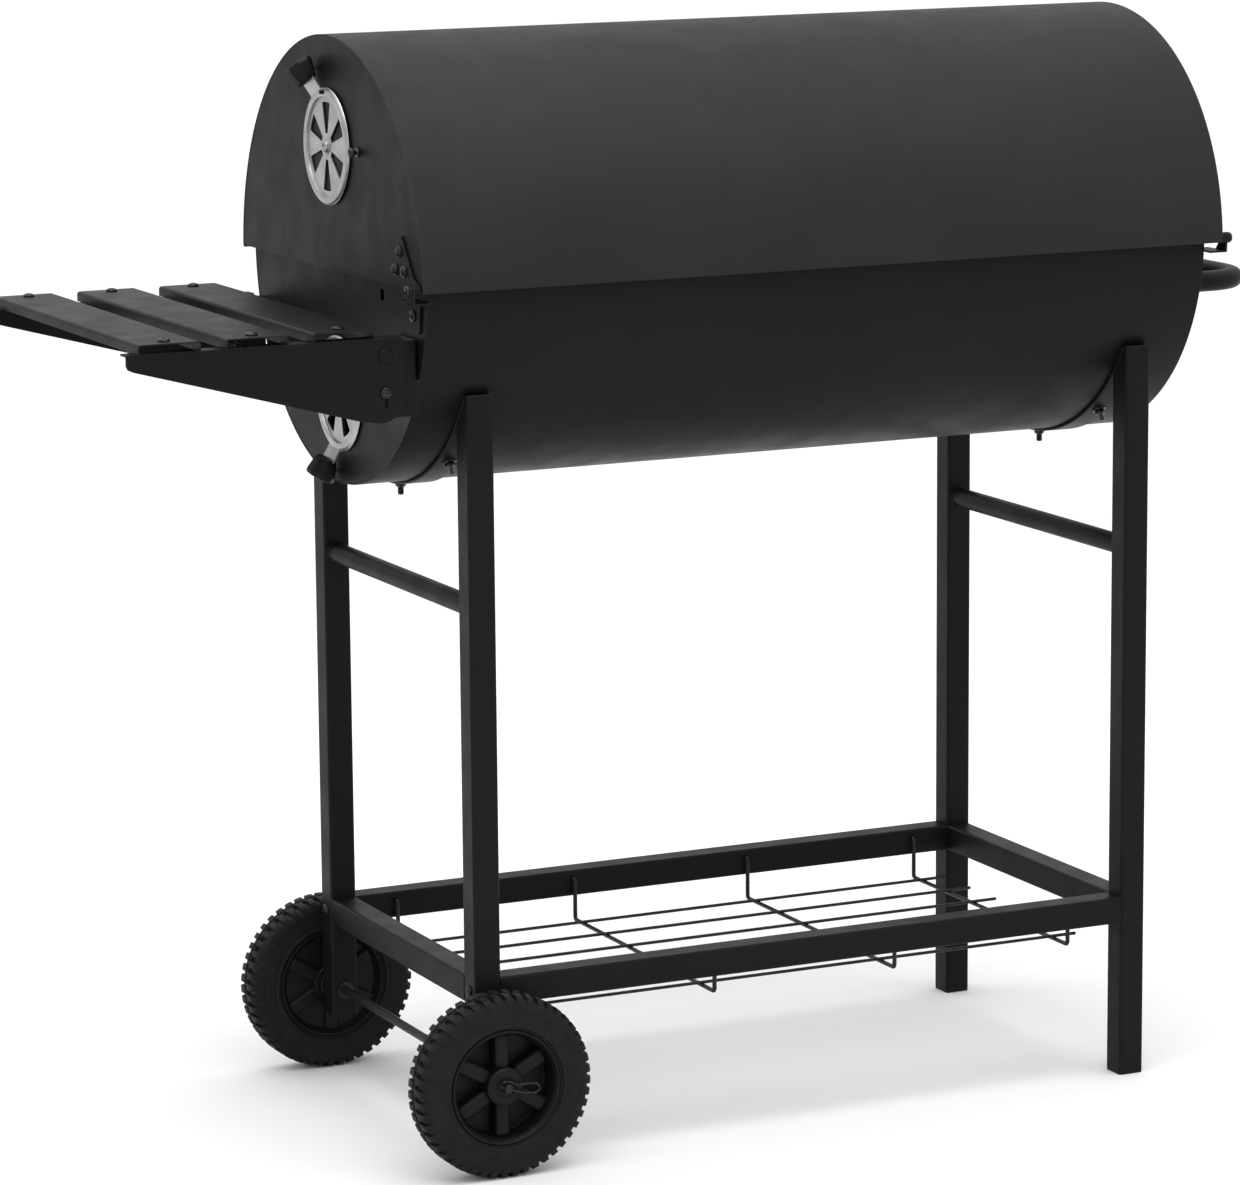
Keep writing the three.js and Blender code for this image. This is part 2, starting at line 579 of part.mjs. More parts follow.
function makeHub(side) {
  const rimProfile = [[46, -14], [RIM_RADIUS - GAP, -14], [RIM_RADIUS - GAP, 14], [46, 14], [46, -14]];
  const bossProfile = [[AXLE_RADIUS + 0.4, -20.5], [15, -20.5], [15, 14], [AXLE_RADIUS + 0.4, 14],
    [AXLE_RADIUS + 0.4, -20.5]];
  const toPoints = (profile) => profile.map(([r, h]) => new THREE.Vector2(r, h));
  const lathe = (profile, sides) => new THREE.LatheGeometry(toPoints(profile), sides);
  const spokes = [];
  for (let i = 0; i < 6; i += 1) {
    const spoke = block(-7.5, 7.5, -9, 9, 10, 48);
    spokes.push(spoke.rotateY((i * Math.PI) / 3));
  }
  const bore = new THREE.CylinderGeometry(14, 14, 40, 24);
  const arms = cut(join(...spokes), bore);
  const hub = join(lathe(rimProfile, 40), lathe(bossProfile, 24), arms);
  const turned = side > 0 ? hub : hub.rotateX(Math.PI);
  return turned.translate(FRAME_HALF_LENGTH - TUBE / 2, side * WHEEL_Y, AXLE_HEIGHT);
}

add('axle', makeAxle(), platedRod());
for (const [side, word] of [[1, 'hinge'], [-1, 'cook']]) {
  add(`tyre_${word}_side`, makeTyre(side * WHEEL_Y), tyreRubber());
  add(`wheel_hub_${word}_side`, makeHub(side), blackPlastic());
  add(`axle_clip_${word}_side`, makeClip(side * CLIP_Y), platedRod());
}

// ---- Side shelf ----
function makeShelfMount(side) {
  const face = DRUM_HALF_LENGTH + GAP;
  const outer = BRACKET_Y - STRIP - GAP;
  const [y0, y1] = span(side, outer - STRIP, outer);
  const [p0, p1] = span(side, 135, outer);
  const flange = extrudeY(polygon([[face, 672], [428, 672], [428, 737], [face, 737]]), y0, y1);
  return join(flange, block(face, face + STRIP, p0, p1, 702, 737));
}

function makeShelfBracket(side) {
  const [y0, y1] = span(side, BRACKET_Y - STRIP, BRACKET_Y);
  const plate = extrudeY(polygon([[399, 680], [405, 670], [420, 668], [441, 671.5], [BRACKET_END, 728],
    [BRACKET_END, BRACKET_TOP], [399, BRACKET_TOP]]), y0, y1);
  const [f0, f1] = span(side, BRACKET_Y - 14, BRACKET_Y);
  return join(plate, block(399, BRACKET_END, f0, f1, BRACKET_TOP - STRIP, BRACKET_TOP));
}

function makeSlat(x) {
  const half = SLAT_WIDTH / 2;
  const bottom = SHELF_TOP - SLAT_DEPTH;
  const inner = half - SHEET;
  const outline = polygon([[x - half, bottom], [x - inner, bottom], [x - inner, SHELF_TOP - SHEET],
    [x + inner, SHELF_TOP - SHEET], [x + inner, bottom], [x + half, bottom],
    [x + half, SHELF_TOP], [x - half, SHELF_TOP]]);
  return extrudeY(outline, -SLAT_HALF_LENGTH, SLAT_HALF_LENGTH);
}

for (const [side, word] of [[1, 'hinge'], [-1, 'cook']]) {
  add(`shelf_mount_${word}_side`, makeShelfMount(side), powderCoat());
  add(`shelf_bracket_${word}_side`, makeShelfBracket(side), powderCoat());
}
SLAT_CENTRES.forEach((x, i) => add(`shelf_slat_${i + 1}`, makeSlat(x), powderCoat()));

// ---- Push handle ----
function makePushHandle() {
  const root = -DRUM_HALF_LENGTH - GAP;
  const corners = [[root, -HANDLE_Y, HANDLE_HEIGHT], [HANDLE_X, -HANDLE_Y, HANDLE_HEIGHT],
    [HANDLE_X, HANDLE_Y, HANDLE_HEIGHT], [root, HANDLE_Y, HANDLE_HEIGHT]];
  return rod(corners, 48, HANDLE_RADIUS, HANDLE_SIDES, 32);
}
add('push_handle', makePushHandle(), powderCoat());

export default group;
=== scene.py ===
"""The looks of a barrel charcoal grill on a cart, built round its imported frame.

Pieces are drawn in millimetres, from the ground under the drum's middle, in the frame's directions:
+X to the side shelf and the wheels, +Y to the hinges, +Z up. place() moves them to the row frame in metres.
"""

import json
import math

import bmesh
import bpy
from mathutils import Matrix, Vector
from mathutils.geometry import tessellate_polygon


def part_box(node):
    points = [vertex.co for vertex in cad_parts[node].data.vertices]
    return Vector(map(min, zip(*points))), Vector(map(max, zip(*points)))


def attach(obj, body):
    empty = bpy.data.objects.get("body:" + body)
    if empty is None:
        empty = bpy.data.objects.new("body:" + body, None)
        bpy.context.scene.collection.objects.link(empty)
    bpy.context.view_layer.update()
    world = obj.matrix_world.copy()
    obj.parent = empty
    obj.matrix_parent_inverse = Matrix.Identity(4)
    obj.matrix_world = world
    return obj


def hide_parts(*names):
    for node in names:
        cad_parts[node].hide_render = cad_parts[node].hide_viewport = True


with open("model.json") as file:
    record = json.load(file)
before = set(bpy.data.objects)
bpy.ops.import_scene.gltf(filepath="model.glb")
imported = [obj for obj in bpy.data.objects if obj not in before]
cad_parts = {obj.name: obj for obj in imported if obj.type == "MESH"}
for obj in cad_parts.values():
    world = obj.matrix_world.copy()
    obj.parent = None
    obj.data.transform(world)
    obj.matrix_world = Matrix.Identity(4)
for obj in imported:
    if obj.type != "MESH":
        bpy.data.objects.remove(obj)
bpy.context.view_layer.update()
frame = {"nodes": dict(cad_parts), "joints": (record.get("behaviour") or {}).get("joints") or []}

MM = 0.001
ENDS = ((1, "shelf"), (-1, "handle"))
SIDES = ((1, "hinge"), (-1, "cook"))


# ---- Places, from the frame ----
drum_low, drum_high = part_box("drum_shell")
ORIGIN = Vector(((drum_low.x + drum_high.x) / 2, (drum_low.y + drum_high.y) / 2, 0))


def local(point):
    """A point of the row frame, in this script's millimetres."""
    return (Vector(point) - ORIGIN) / MM


def local_box(node):
    low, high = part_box(node)
    return local(low), local(high)


def joint_point(name):
    return local(next(j["pos_m"] for j in frame["joints"] if j["name"] == name))


def middle(node):
    low, high = local_box(node)
    return (low + high) / 2


def span(side, near, far):
    """Two distances from the middle taken to one side of it, the lower first."""
    return sorted((side * near, side * far))


def outward(side, axis):
    """The name in FACING of the direction away from the middle."""
    return f"{'+' if side > 0 else '-'}{axis}"


# ---- Driving dimensions ----
SHEET = 1.2
STRIP = 1.7
TUBE = 25
TUBE_WALL = 1.2
TUBE_CORNER = 2.6

DRUM_RADIUS = 198
DRUM_AXIS = local_box("drum_shell")[0].z + DRUM_RADIUS
DRUM_RIM = local_box("drum_shell")[1].z
DRUM_END = local_box("drum_end_shelf_side")[1].x
LID_RADIUS = 208
LID_AXIS = local_box("lid_shell")[1].z - LID_RADIUS
LID_MIDDLE = middle("lid_shell").y
LID_RIM = local_box("lid_shell")[0].z
LID_END = local_box("lid_end_shelf_side")[1].x

HINGE = joint_point("lid_hinge")
HINGE_BARREL = 5
EYE_LENGTH = 5

VANES = 6
VANE_HALF_ANGLE = math.radians(13)
VANE_INNER = 11.5
VANE_OUTER = 39
LEVER_LEAN = math.radians(23)
DRUM_LEVER_LEAN = math.radians(10)
LEVER_RISE = math.radians(27)
LEVER_WIDTH = 22
LEVER_BEND = 50
LEVER_END = 60
KNOB_LENGTH = 19
STOP_REACH = 66
SLOT_TURN = math.radians(18)
PLATE_INSET = 0.35
PLATE_CLEARANCE = 0.15
EYE_BORE = 2.9

LEG_X = middle("leg_hinge_side_shelf_end").x
LEG_Y = middle("leg_hinge_side_shelf_end").y
LEG_TOP = local_box("leg_hinge_side_shelf_end")[1].z
RAIL_HEIGHT = middle("rail_shelf_end").z
SADDLE_INSIDE = DRUM_RADIUS + 0.3
SADDLE_THICKNESS = 2.5
TRAY_HOOK_XS = (-275, -92, 92, 275)
TRAY_WIRE_YS = (-125, -75, -25, 25, 75, 125)
TRAY_HOOK_WIRE = 2
TRAY_WIRE = 1.5
WELD_RADIUS = 1.1
AXLE_RADIUS = 4
PUSH_HANDLE_RADIUS = 9.5
LID_HANDLE_RADIUS = 7

GRATE_WIRE = 2

WHEEL_RADIUS = 82
WHEEL_HALF_WIDTH = 18
RIM_RADIUS = 52
LUGS = 48
SPOKES = 6
SPOKE_WIDTH = 13.5
SPOKE_START = 13
SPOKE_LEVELS = (-13.5, 7.5)
WEB_LEVEL = -8


# ---- Meshes ----
ALONG_X = Matrix(((0, 0, 1, 0), (1, 0, 0, 0), (0, 1, 0, 0), (0, 0, 0, 1)))  # outline in y and z
ALONG_Y = Matrix(((1, 0, 0, 0), (0, 0, 1, 0), (0, 1, 0, 0), (0, 0, 0, 1)))  # outline in x and z
ALONG_Z = Matrix.Identity(4)


def at(x, y, z):
    return Matrix.Translation((x, y, z))


def arc(radius, start, end, steps, centre=(0, 0)):
    """Points on a circle between two angles, anticlockwise when end is the larger."""
    turns = [start + (end - start) * i / steps for i in range(steps + 1)]
    return [(centre[0] + radius * math.cos(t), centre[1] + radius * math.sin(t)) for t in turns]


def circle(radius, sides, centre=(0, 0)):
    return arc(radius, 0, math.tau * (sides - 1) / sides, sides - 1, centre)


def rounded_square(half, corner, steps=5):
    points = []
    for i in range(4):
        turn = math.pi / 2 * i
        centre = (half - corner, half - corner)
        quarter = arc(corner, 0, math.pi / 2, steps, centre)
        points += [(a * math.cos(turn) - b * math.sin(turn), a * math.sin(turn) + b * math.cos(turn))
                   for a, b in quarter]
    return points


def bend(points, reach, steps=8):
    """A path with each corner rounded off, starting that far before it."""
    path = [Vector(p) for p in points]
    result = [path[0]]
    for before, corner, after in zip(path, path[1:], path[2:]):
        start = corner + (before - corner).normalized() * reach
        end = corner + (after - corner).normalized() * reach
        for i in range(steps + 1):
            t = i / steps
            result.append(start * (1 - t) ** 2 + corner * 2 * t * (1 - t) + end * t ** 2)
    result.append(path[-1])
    return result


def face(bm, corners):
    """A face between these corners, leaving out any that repeat."""
    kept = []
    for corner in corners:
        if corner not in kept:
            kept.append(corner)
    if len(kept) > 2:
        bm.faces.new(kept)


def sweep(bm, path, section, closed=False):
    """A closed section carried along a path, with flat ends unless the path is closed."""
    points = [Vector(p) for p in path]
    count = len(points)
    tangents = []
    for i in range(count):
        before = points[i - 1] if i or closed else points[i]
        after = points[(i + 1) % count] if i < count - 1 or closed else points[i]
        tangents.append((after - before).normalized())
    helper = Vector((0, 0, 1)) if abs(tangents[0].z) < 0.9 else Vector((1, 0, 0))
    across = tangents[0].cross(helper).normalized()
    rings = []
    for i, (point, tangent) in enumerate(zip(points, tangents)):
        if i:
            across = tangents[i - 1].rotation_difference(tangent) @ across
        up = across.cross(tangent)
        rings.append([bm.verts.new(point + across * a + up * b) for a, b in section])
    pairs = list(zip(rings, rings[1:])) + ([(rings[-1], rings[0])] if closed else [])
    size = len(section)
    for one, two in pairs:
        for j in range(size):
            bm.faces.new((one[j], one[(j + 1) % size], two[(j + 1) % size], two[j]))
    if not closed:
        bm.faces.new(rings[0])
        bm.faces.new(rings[-1])


def rod(bm, points, radius, sides=20, reach=None, steps=8):
    sweep(bm, bend(points, reach, steps) if reach else points, circle(radius, sides))


def lathe(bm, profile, steps, matrix=ALONG_Z):
    """A profile of (radius, height) turned round the Z axis. It starts and ends on the axis, or closes."""
    loop = profile[0][0] > 1e-6
    columns = []
    poles = {}
    for j in range(steps):
        turn = math.tau * j / steps
        column = []
        for i, (radius, height) in enumerate(profile):
            if radius < 1e-6:
                if i not in poles:
                    poles[i] = bm.verts.new(matrix @ Vector((0, 0, height)))
                column.append(poles[i])
            else:
                spot = Vector((radius * math.cos(turn), radius * math.sin(turn), height))
                column.append(bm.verts.new(matrix @ spot))
        columns.append(column)
    rows = len(profile)
    for j in range(steps):
        one, two = columns[j], columns[(j + 1) % steps]
        for i in range(rows if loop else rows - 1):
            k = (i + 1) % rows
            face(bm, (one[i], one[k], two[k], two[i]))


def prism(bm, loops, low, high, matrix=ALONG_Z):
    """A flat solid between two levels: the first loop is its outline and any others are holes."""
    flat = [[Vector((a, b, 0)) for a, b in loop] for loop in loops]
    spots = [p for loop in flat for p in loop]
    bottom = [bm.verts.new(matrix @ Vector((p.x, p.y, low))) for p in spots]
    top = [bm.verts.new(matrix @ Vector((p.x, p.y, high))) for p in spots]
    if len(loops) == 1:
        bm.faces.new(bottom)
        bm.faces.new(top)
    else:
        for i, j, k in tessellate_polygon(flat):
            bm.faces.new((bottom[i], bottom[j], bottom[k]))
            bm.faces.new((top[i], top[j], top[k]))
    start = 0
    for loop in loops:
        size = len(loop)
        for i in range(size):
            one, two = start + i, start + (i + 1) % size
            bm.faces.new((bottom[one], bottom[two], top[two], top[one]))
        start += size


def box(bm, x0, x1, y0, y1, z0, z1):
    prism(bm, [[(x0, y0), (x1, y0), (x1, y1), (x0, y1)]], z0, z1)


def ribbon(bm, path, thickness, stations, matrix=ALONG_Z):
    """A bent strip of sheet: a path given a thickness and carried through the stations."""
    points = [Vector(p) for p in path]
    count = len(points)
    normals = []
    for i in range(count):
        along = points[min(i + 1, count - 1)] - points[max(i - 1, 0)]
        normals.append(Vector((-along.y, along.x)).normalized())
    grid = []
    for side in (0.5, -0.5):
        edge = [p + n * thickness * side for p, n in zip(points, normals)]
        grid.append([[bm.verts.new(matrix @ Vector((p.x, p.y, s))) for p in edge] for s in stations])
    outer, inner = grid
    last = len(stations) - 1
    for i in range(count - 1):
        for s in range(last):
            for layer in (outer, inner):
                bm.faces.new((layer[s][i], layer[s][i + 1], layer[s + 1][i + 1], layer[s + 1][i]))
        for s in (0, last):
            bm.faces.new((outer[s][i], outer[s][i + 1], inner[s][i + 1], inner[s][i]))
    for i in (0, count - 1):
        for s in range(last):
            bm.faces.new((outer[s][i], inner[s][i], inner[s + 1][i], outer[s + 1][i]))


def soften(bm, width, segments=2, sharper_than=35):
    """Rounds every edge sharper than an angle."""
    bmesh.ops.recalc_face_normals(bm, faces=bm.faces[:])
    bm.normal_update()
    limit = math.radians(sharper_than)
    edges = [e for e in bm.edges if len(e.link_faces) == 2 and e.calc_face_angle() > limit]
    bmesh.ops.bevel(bm, geom=edges, offset=width, segments=segments, profile=0.5, affect="EDGES",
                    clamp_overlap=True)


def scratch_mesh(part):
    """A mesh that holds what a bmesh held."""
    bmesh.ops.recalc_face_normals(part, faces=part.faces[:])
    mesh = bpy.data.meshes.new("scratch")
    part.to_mesh(mesh)
    part.free()
    return mesh


def combine(first, others, operation):
    """Joins others to the first mesh or cuts them from it, by Blender's exact boolean."""
    objects = []
    for part in [first, *others]:
        obj = bpy.data.objects.new("scratch", scratch_mesh(part))
        bpy.context.scene.collection.objects.link(obj)
        objects.append(obj)
    for other in objects[1:]:
        modifier = objects[0].modifiers.new("cut", "BOOLEAN")
        modifier.operation = operation
        modifier.solver = "EXACT"
        modifier.object = other
    evaluated = objects[0].evaluated_get(bpy.context.evaluated_depsgraph_get())
    result = bmesh.new()
    result.from_mesh(evaluated.to_mesh())
    evaluated.to_mesh_clear()
    for obj in objects:
        mesh = obj.data
        bpy.data.objects.remove(obj)
        bpy.data.meshes.remove(mesh)
    return result


def absorb(bm, part):
    """Adds another mesh to this one, as an island of its own."""
    mesh = scratch_mesh(part)
    bm.from_mesh(mesh)
    bpy.data.meshes.remove(mesh)


def add_plate(bm, outlines, levels, rounding, matrix=ALONG_X):
    """A flat plate with rounded edges, as an island of its own."""
    plate = bmesh.new()
    prism(plate, outlines, *levels, matrix)
    soften(plate, rounding)
    absorb(bm, plate)


def make_mesh(name, bm, material, sharp=38):
    bmesh.ops.recalc_face_normals(bm, faces=bm.faces[:])
    mesh = bpy.data.meshes.new(name)
    bm.to_mesh(mesh)
    bm.free()
    mesh.transform(Matrix.Scale(MM, 4))
    mesh.materials.append(material)
    mesh.shade_smooth()
    mesh.set_sharp_from_angle(angle=math.radians(sharp))
    return mesh


def place(name, mesh, body, replaces=(), matrix=ALONG_Z):
    """Puts a mesh in the row frame on its body. The matrix is in millimetres."""
    obj = bpy.data.objects.new(name, mesh)
    bpy.context.scene.collection.objects.link(obj)
    moved = matrix.copy()
    moved.translation = matrix.translation * MM + ORIGIN
    obj.matrix_world = moved
    normals = obj.modifiers.new("weighted_normals", "WEIGHTED_NORMAL")
    normals.keep_sharp = True
    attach(obj, body)
    if replaces:
        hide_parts(*replaces)
    return obj


def piece(name, bm, material, body, replaces=(), sharp=38):
    return place(name, make_mesh(name, bm, material, sharp), body, replaces)


# ---- Materials ----
def new_material(name, slot=None):
    material = bpy.data.materials.new(name)
    material["slot"] = slot or name
    material.use_nodes = True
    tree = material.node_tree
    return material, tree, tree.nodes["Principled BSDF"]


def add_node(tree, kind, values):
    """A shader node with some of its inputs set by name."""
    node = tree.nodes.new(f"ShaderNode{kind}")
    for name, value in values.items():
        node.inputs[name].default_value = value
    return node


def noise(tree, scale, detail, stretch=(1, 1, 1)):
    """Noise in the piece's own coordinates; the scale is in cells per metre."""
    coordinates = tree.nodes.new("ShaderNodeTexCoord")
    mapping = add_node(tree, "Mapping", {"Scale": stretch})
    texture = add_node(tree, "TexNoise", {"Scale": scale, "Detail": detail})
    tree.links.new(coordinates.outputs["Object"], mapping.inputs["Vector"])
    tree.links.new(mapping.outputs["Vector"], texture.inputs["Vector"])
    return texture.outputs["Fac"]


def spread(tree, factor, low, high, source_low=0.35, source_high=0.65):
    """A factor mapped to a range."""
    limits = {"From Min": source_low, "From Max": source_high, "To Min": low, "To Max": high}
    node = add_node(tree, "MapRange", limits)
    tree.links.new(factor, node.inputs["Value"])
    return node.outputs["Result"]


def mix_colour(tree, factor, one, two):
    """A colour between two, each an RGB triple or a socket."""
    node = tree.nodes.new("ShaderNodeMix")
    node.data_type = "RGBA"
    tree.links.new(factor, node.inputs["Factor"])
    for socket, value in ((node.inputs[6], one), (node.inputs[7], two)):
        if isinstance(value, bpy.types.NodeSocket):
            tree.links.new(value, socket)
        else:
            socket.default_value = (*value, 1)
    return node.outputs[2]


def add_bump(tree, shader, height, strength, distance, under=None):
    node = add_node(tree, "Bump", {"Strength": strength, "Distance": distance})
    tree.links.new(height, node.inputs["Height"])
    if under is not None:
        tree.links.new(under, node.inputs["Normal"])
    tree.links.new(node.outputs["Normal"], shader.inputs["Normal"])
    return node.outputs["Normal"]


def edge_mask(tree, radius, low, high):
    """1 along sharp edges and 0 elsewhere, from how far a rounded normal leans from the true one."""
    rounded = add_node(tree, "Bevel", {"Radius": radius})
    rounded.samples = 4
    true = tree.nodes.new("ShaderNodeNewGeometry")
    dot = tree.nodes.new("ShaderNodeVectorMath")
    dot.operation = "DOT_PRODUCT"
    tree.links.new(rounded.outputs["Normal"], dot.inputs[0])
    tree.links.new(true.outputs["Normal"], dot.inputs[1])
    return spread(tree, dot.outputs["Value"], 1, 0, low, high)


def paint_edge_highlight(tree, colour, edge, amount, highlight_colour):
    """The colour, lightened along sharp edges towards a brighter colour: a painted highlight. The edge is a
    radius and two limits.
    """
    return mix_colour(tree, spread(tree, edge_mask(tree, *edge), 0, amount, 0, 1), colour, highlight_colour)


def powder_coat(name, shade, roughness):
    """Satin black powder coat: fine orange peel, faint clouding and a painted highlight along its sharp
    edges.
    """
    material, tree, shader = new_material(name, "powder_coat")
    clouds = spread(tree, noise(tree, 9, 3), 0, 1)
    speckle = spread(tree, noise(tree, 1600, 1), 0, 1)
    body = mix_colour(tree, clouds, [shade * 0.88, shade * 0.93, shade * 1.02],
                      [shade * 1.06, shade * 1.12, shade * 1.22])
    body = mix_colour(tree, spread(tree, speckle, 0, 0.35, 0, 1), body, [shade * 1.6] * 3)
    # Painted highlight: the coat is lightened along its sharp edges.
    colour = paint_edge_highlight(tree, body, (0.0012, 0.86, 0.99), 0.5, [shade + 0.035] * 3)
    tree.links.new(colour, shader.inputs["Base Color"])
    uneven = spread(tree, noise(tree, 30, 4), roughness - 0.04, roughness + 0.04)
    tree.links.new(uneven, shader.inputs["Roughness"])
    peel = add_bump(tree, shader, noise(tree, 420, 2), 0.10, 0.0004)
    add_bump(tree, shader, noise(tree, 1500, 1), 0.08, 0.0001, peel)
    shader.inputs["Specular IOR Level"].default_value = 0.1
    return material


def plain_material(name, metallic, clouds, colours, rough, bump, edge_highlight=None, specular=0.5):
    """Clouded colour, uneven roughness and a fine bump, each from its own noise."""
    material, tree, shader = new_material(name)
    shader.inputs["Metallic"].default_value = metallic
    shader.inputs["Specular IOR Level"].default_value = specular
    colour = mix_colour(tree, spread(tree, noise(tree, *clouds), 0, 1), *colours)
    # Painted highlight: when an edge highlight is given, the colour is lightened along sharp edges.
    if edge_highlight:
        colour = paint_edge_highlight(tree, colour, *edge_highlight)
    tree.links.new(colour, shader.inputs["Base Color"])
    rough_noise, low, high = rough
    tree.links.new(spread(tree, noise(tree, *rough_noise), low, high), shader.inputs["Roughness"])
    bump_noise, strength, distance = bump
    add_bump(tree, shader, noise(tree, *bump_noise), strength, distance)
    return material


COAT = powder_coat("powder_coat", 0.0052, 0.46)
# Painted light: a lighter copy of the same powder coat, used on the lid's curved skin only; the lid's end
# plates keep the darker coat.
LIT_LID_COAT = powder_coat("powder_coat_lid_painted_light", 0.0155, 0.56)
BRUSHED = (260, 3, (1, 1, 9))
# Zinc-plated pressed steel, lightly brushed across the lever, with a painted highlight along its sharp
# edges.
BRIGHT = plain_material("bright_steel", 1, (60, 3), ((0.31, 0.315, 0.315), (0.41, 0.415, 0.415)),
                        (BRUSHED, 0.30, 0.42), (BRUSHED, 0.12, 0.0002),
                        ((0.0006, 0.80, 0.98), 0.8, [0.80] * 3))
# Black-plated bolts, nuts and pins, with painted highlights along their sharp edges.
BOLT = plain_material("dark_steel", 0.85, (300, 3), ((0.012, 0.012, 0.0125), (0.030, 0.030, 0.031)),
                      ((900, 2), 0.24, 0.36), ((1400, 2), 0.08, 0.0001),
                      ((0.0005, 0.80, 0.98), 0.6, (0.42, 0.42, 0.43)))
# Moulded plastic of the knobs, hubs and foot caps, with a painted highlight along sharp edges.
PLASTIC = plain_material("black_plastic", 0, (40, 3),
                         ((0.0032, 0.0034, 0.0037), (0.0052, 0.0054, 0.0058)),
                         ((1100, 2), 0.42, 0.56), ((1100, 2), 0.15, 0.00015),
                         ((0.0008, 0.82, 0.98), 0.4, (0.024, 0.024, 0.025)), 0.16)
# Matt, faintly dusty solid rubber, with a painted highlight along sharp edges.
RUBBER = plain_material("tyre", 0, (70, 4), ((0.0040, 0.0042, 0.0045), (0.0070, 0.0072, 0.0074)),
                        ((500, 3), 0.50, 0.66), ((1300, 3), 0.16, 0.0002),
                        ((0.0008, 0.80, 0.98), 0.35, [0.03] * 3), 0.16)
# Black-plated round rod and wire.
ROD = plain_material("plated_rod", 0.6, (200, 3), ((0.010, 0.010, 0.0105), (0.022, 0.022, 0.0225)),
                     ((700, 2), 0.34, 0.48), ((1200, 2), 0.10, 0.0001))
# Plated cooking grate bars.
GRATE = plain_material("grate_steel", 1, (25, 4), ((0.48, 0.475, 0.46), (0.62, 0.62, 0.62)),
                       ((150, 3), 0.20, 0.34), ((900, 2), 0.06, 0.0001))


# ---- Barrel ----
def stations(half):
    """Levels along a long sheet, close together near its ends so that rounded edges stay crisp."""
    return [-half, -half + 3, -half / 2, 0, half / 2, half - 3, half]


def shell_path(radius, start, end, steps, centre, curl):
    """The middle line of a round sheet whose two long edges curl inwards."""
    path = arc(radius, start, end, steps, centre)
    inner = arc(radius - curl, start, end, 1, centre)
    first = arc(curl, start - CURL_TURN, start, 8, inner[0])
    last = arc(curl, end, end + CURL_TURN, 8, inner[1])
    return first[:-1] + path + last[1:]


CURL = 2.4
CURL_TURN = math.pi * 1.15
DRUM_LIFT = math.asin((DRUM_RIM - DRUM_AXIS - CURL) / DRUM_RADIUS)
LID_LIFT = math.asin((LID_RIM - LID_AXIS + CURL) / LID_RADIUS)


def make_skin(word, body, material, radius, start, end, centre, half_length):
    bm = bmesh.new()
    path = shell_path(radius - SHEET / 2, start, end, 180, centre, CURL)
    ribbon(bm, path, SHEET, stations(half_length), ALONG_X)
    soften(bm, 0.35)
    piece(f"{word}_skin", bm, material, body, [f"{word}_shell"])


def vane_outline(middle_angle, centre):
    one = middle_angle - VANE_HALF_ANGLE
    two = middle_angle + VANE_HALF_ANGLE
    return arc(VANE_OUTER, one, two, 6, centre) + arc(VANE_INNER, two, one, 4, centre)


def vane_holes(centre, turn):
    return [vane_outline(turn + math.pi / 2 + math.tau * i / VANES, centre) for i in range(VANES)]


def end_plate(name, body, node, side, outline, holes, outer):
    """A pressed end: a flat plate with a rounded edge, set just inside its shell."""
    bm = bmesh.new()
    levels = span(side, outer - PLATE_INSET - SHEET, outer - PLATE_INSET)
    prism(bm, [outline, *holes], *levels, ALONG_X)
    soften(bm, 0.45, 3)
    piece(name, bm, COAT, body, [node])


def make_drum_ends():
    radius = DRUM_RADIUS - SHEET - PLATE_CLEARANCE
    lift = math.asin((DRUM_RIM - 1.2 - DRUM_AXIS) / radius)
    outline = arc(radius, math.pi - lift, math.tau + lift, 180, (0, DRUM_AXIS))
    slot = [(95, 762), (103, 762), (103, 772), (95, 772)]
    damper = joint_point("drum_damper_turn")
    holes = vane_holes((damper.y, damper.z), math.pi - DRUM_LEVER_LEAN - LEVER_LEAN)
    end_plate("drum_plate_shelf_side", "grill", "drum_end_shelf_side", 1, outline, [slot, *holes], DRUM_END)
    end_plate("drum_plate_handle_side", "grill", "drum_end_handle_side", -1, outline, [slot], DRUM_END)


def make_lid_ends():
    radius = LID_RADIUS - SHEET - PLATE_CLEARANCE
    lift = math.asin((LID_RIM + 1.0 - LID_AXIS) / radius)
    outline = arc(radius, lift, math.pi - lift, 180, (LID_MIDDLE, LID_AXIS))
    damper = joint_point("lid_damper_turn")
    holes = vane_holes((damper.y, damper.z), math.pi / VANES)
    end_plate("lid_plate_shelf_side", "lid", "lid_end_shelf_side", 1, outline, holes, LID_END)
    end_plate("lid_plate_handle_side", "lid", "lid_end_handle_side", -1, outline, [], LID_END)


def make_lid_handle():
    low, high = local_box("lid_handle")
    radius = LID_HANDLE_RADIUS
    height = (low.z + high.z) / 2
    reach = low.y + radius
    end = high.x - radius
    wall = LID_MIDDLE - math.sqrt(LID_RADIUS ** 2 - (height - LID_AXIS) ** 2)
    bm = bmesh.new()
    root = wall + 0.5
    corners = [(-end, root, height), (-end, reach, height), (end, reach, height), (end, root, height)]
    rod(bm, corners, radius, 28, 18, 12)
    for side in (1, -1):
        flange = [(0, -1.6), (12, -1.6), (12, 0.4), (10.5, 1.2), (7.4, 1.4), (7.2, 3), (0, 3)]
        tilt = math.asin((height - LID_AXIS) / LID_RADIUS)
        lathe(bm, flange, 36, at(side * end, wall, height) @ Matrix.Rotation(math.pi / 2 - tilt, 4, "X"))
    piece("lid_handle_bar", bm, COAT, "lid", ["lid_handle"])


make_skin("drum", "grill", COAT, DRUM_RADIUS, math.pi - DRUM_LIFT, math.tau + DRUM_LIFT,
          (0, DRUM_AXIS), DRUM_END)
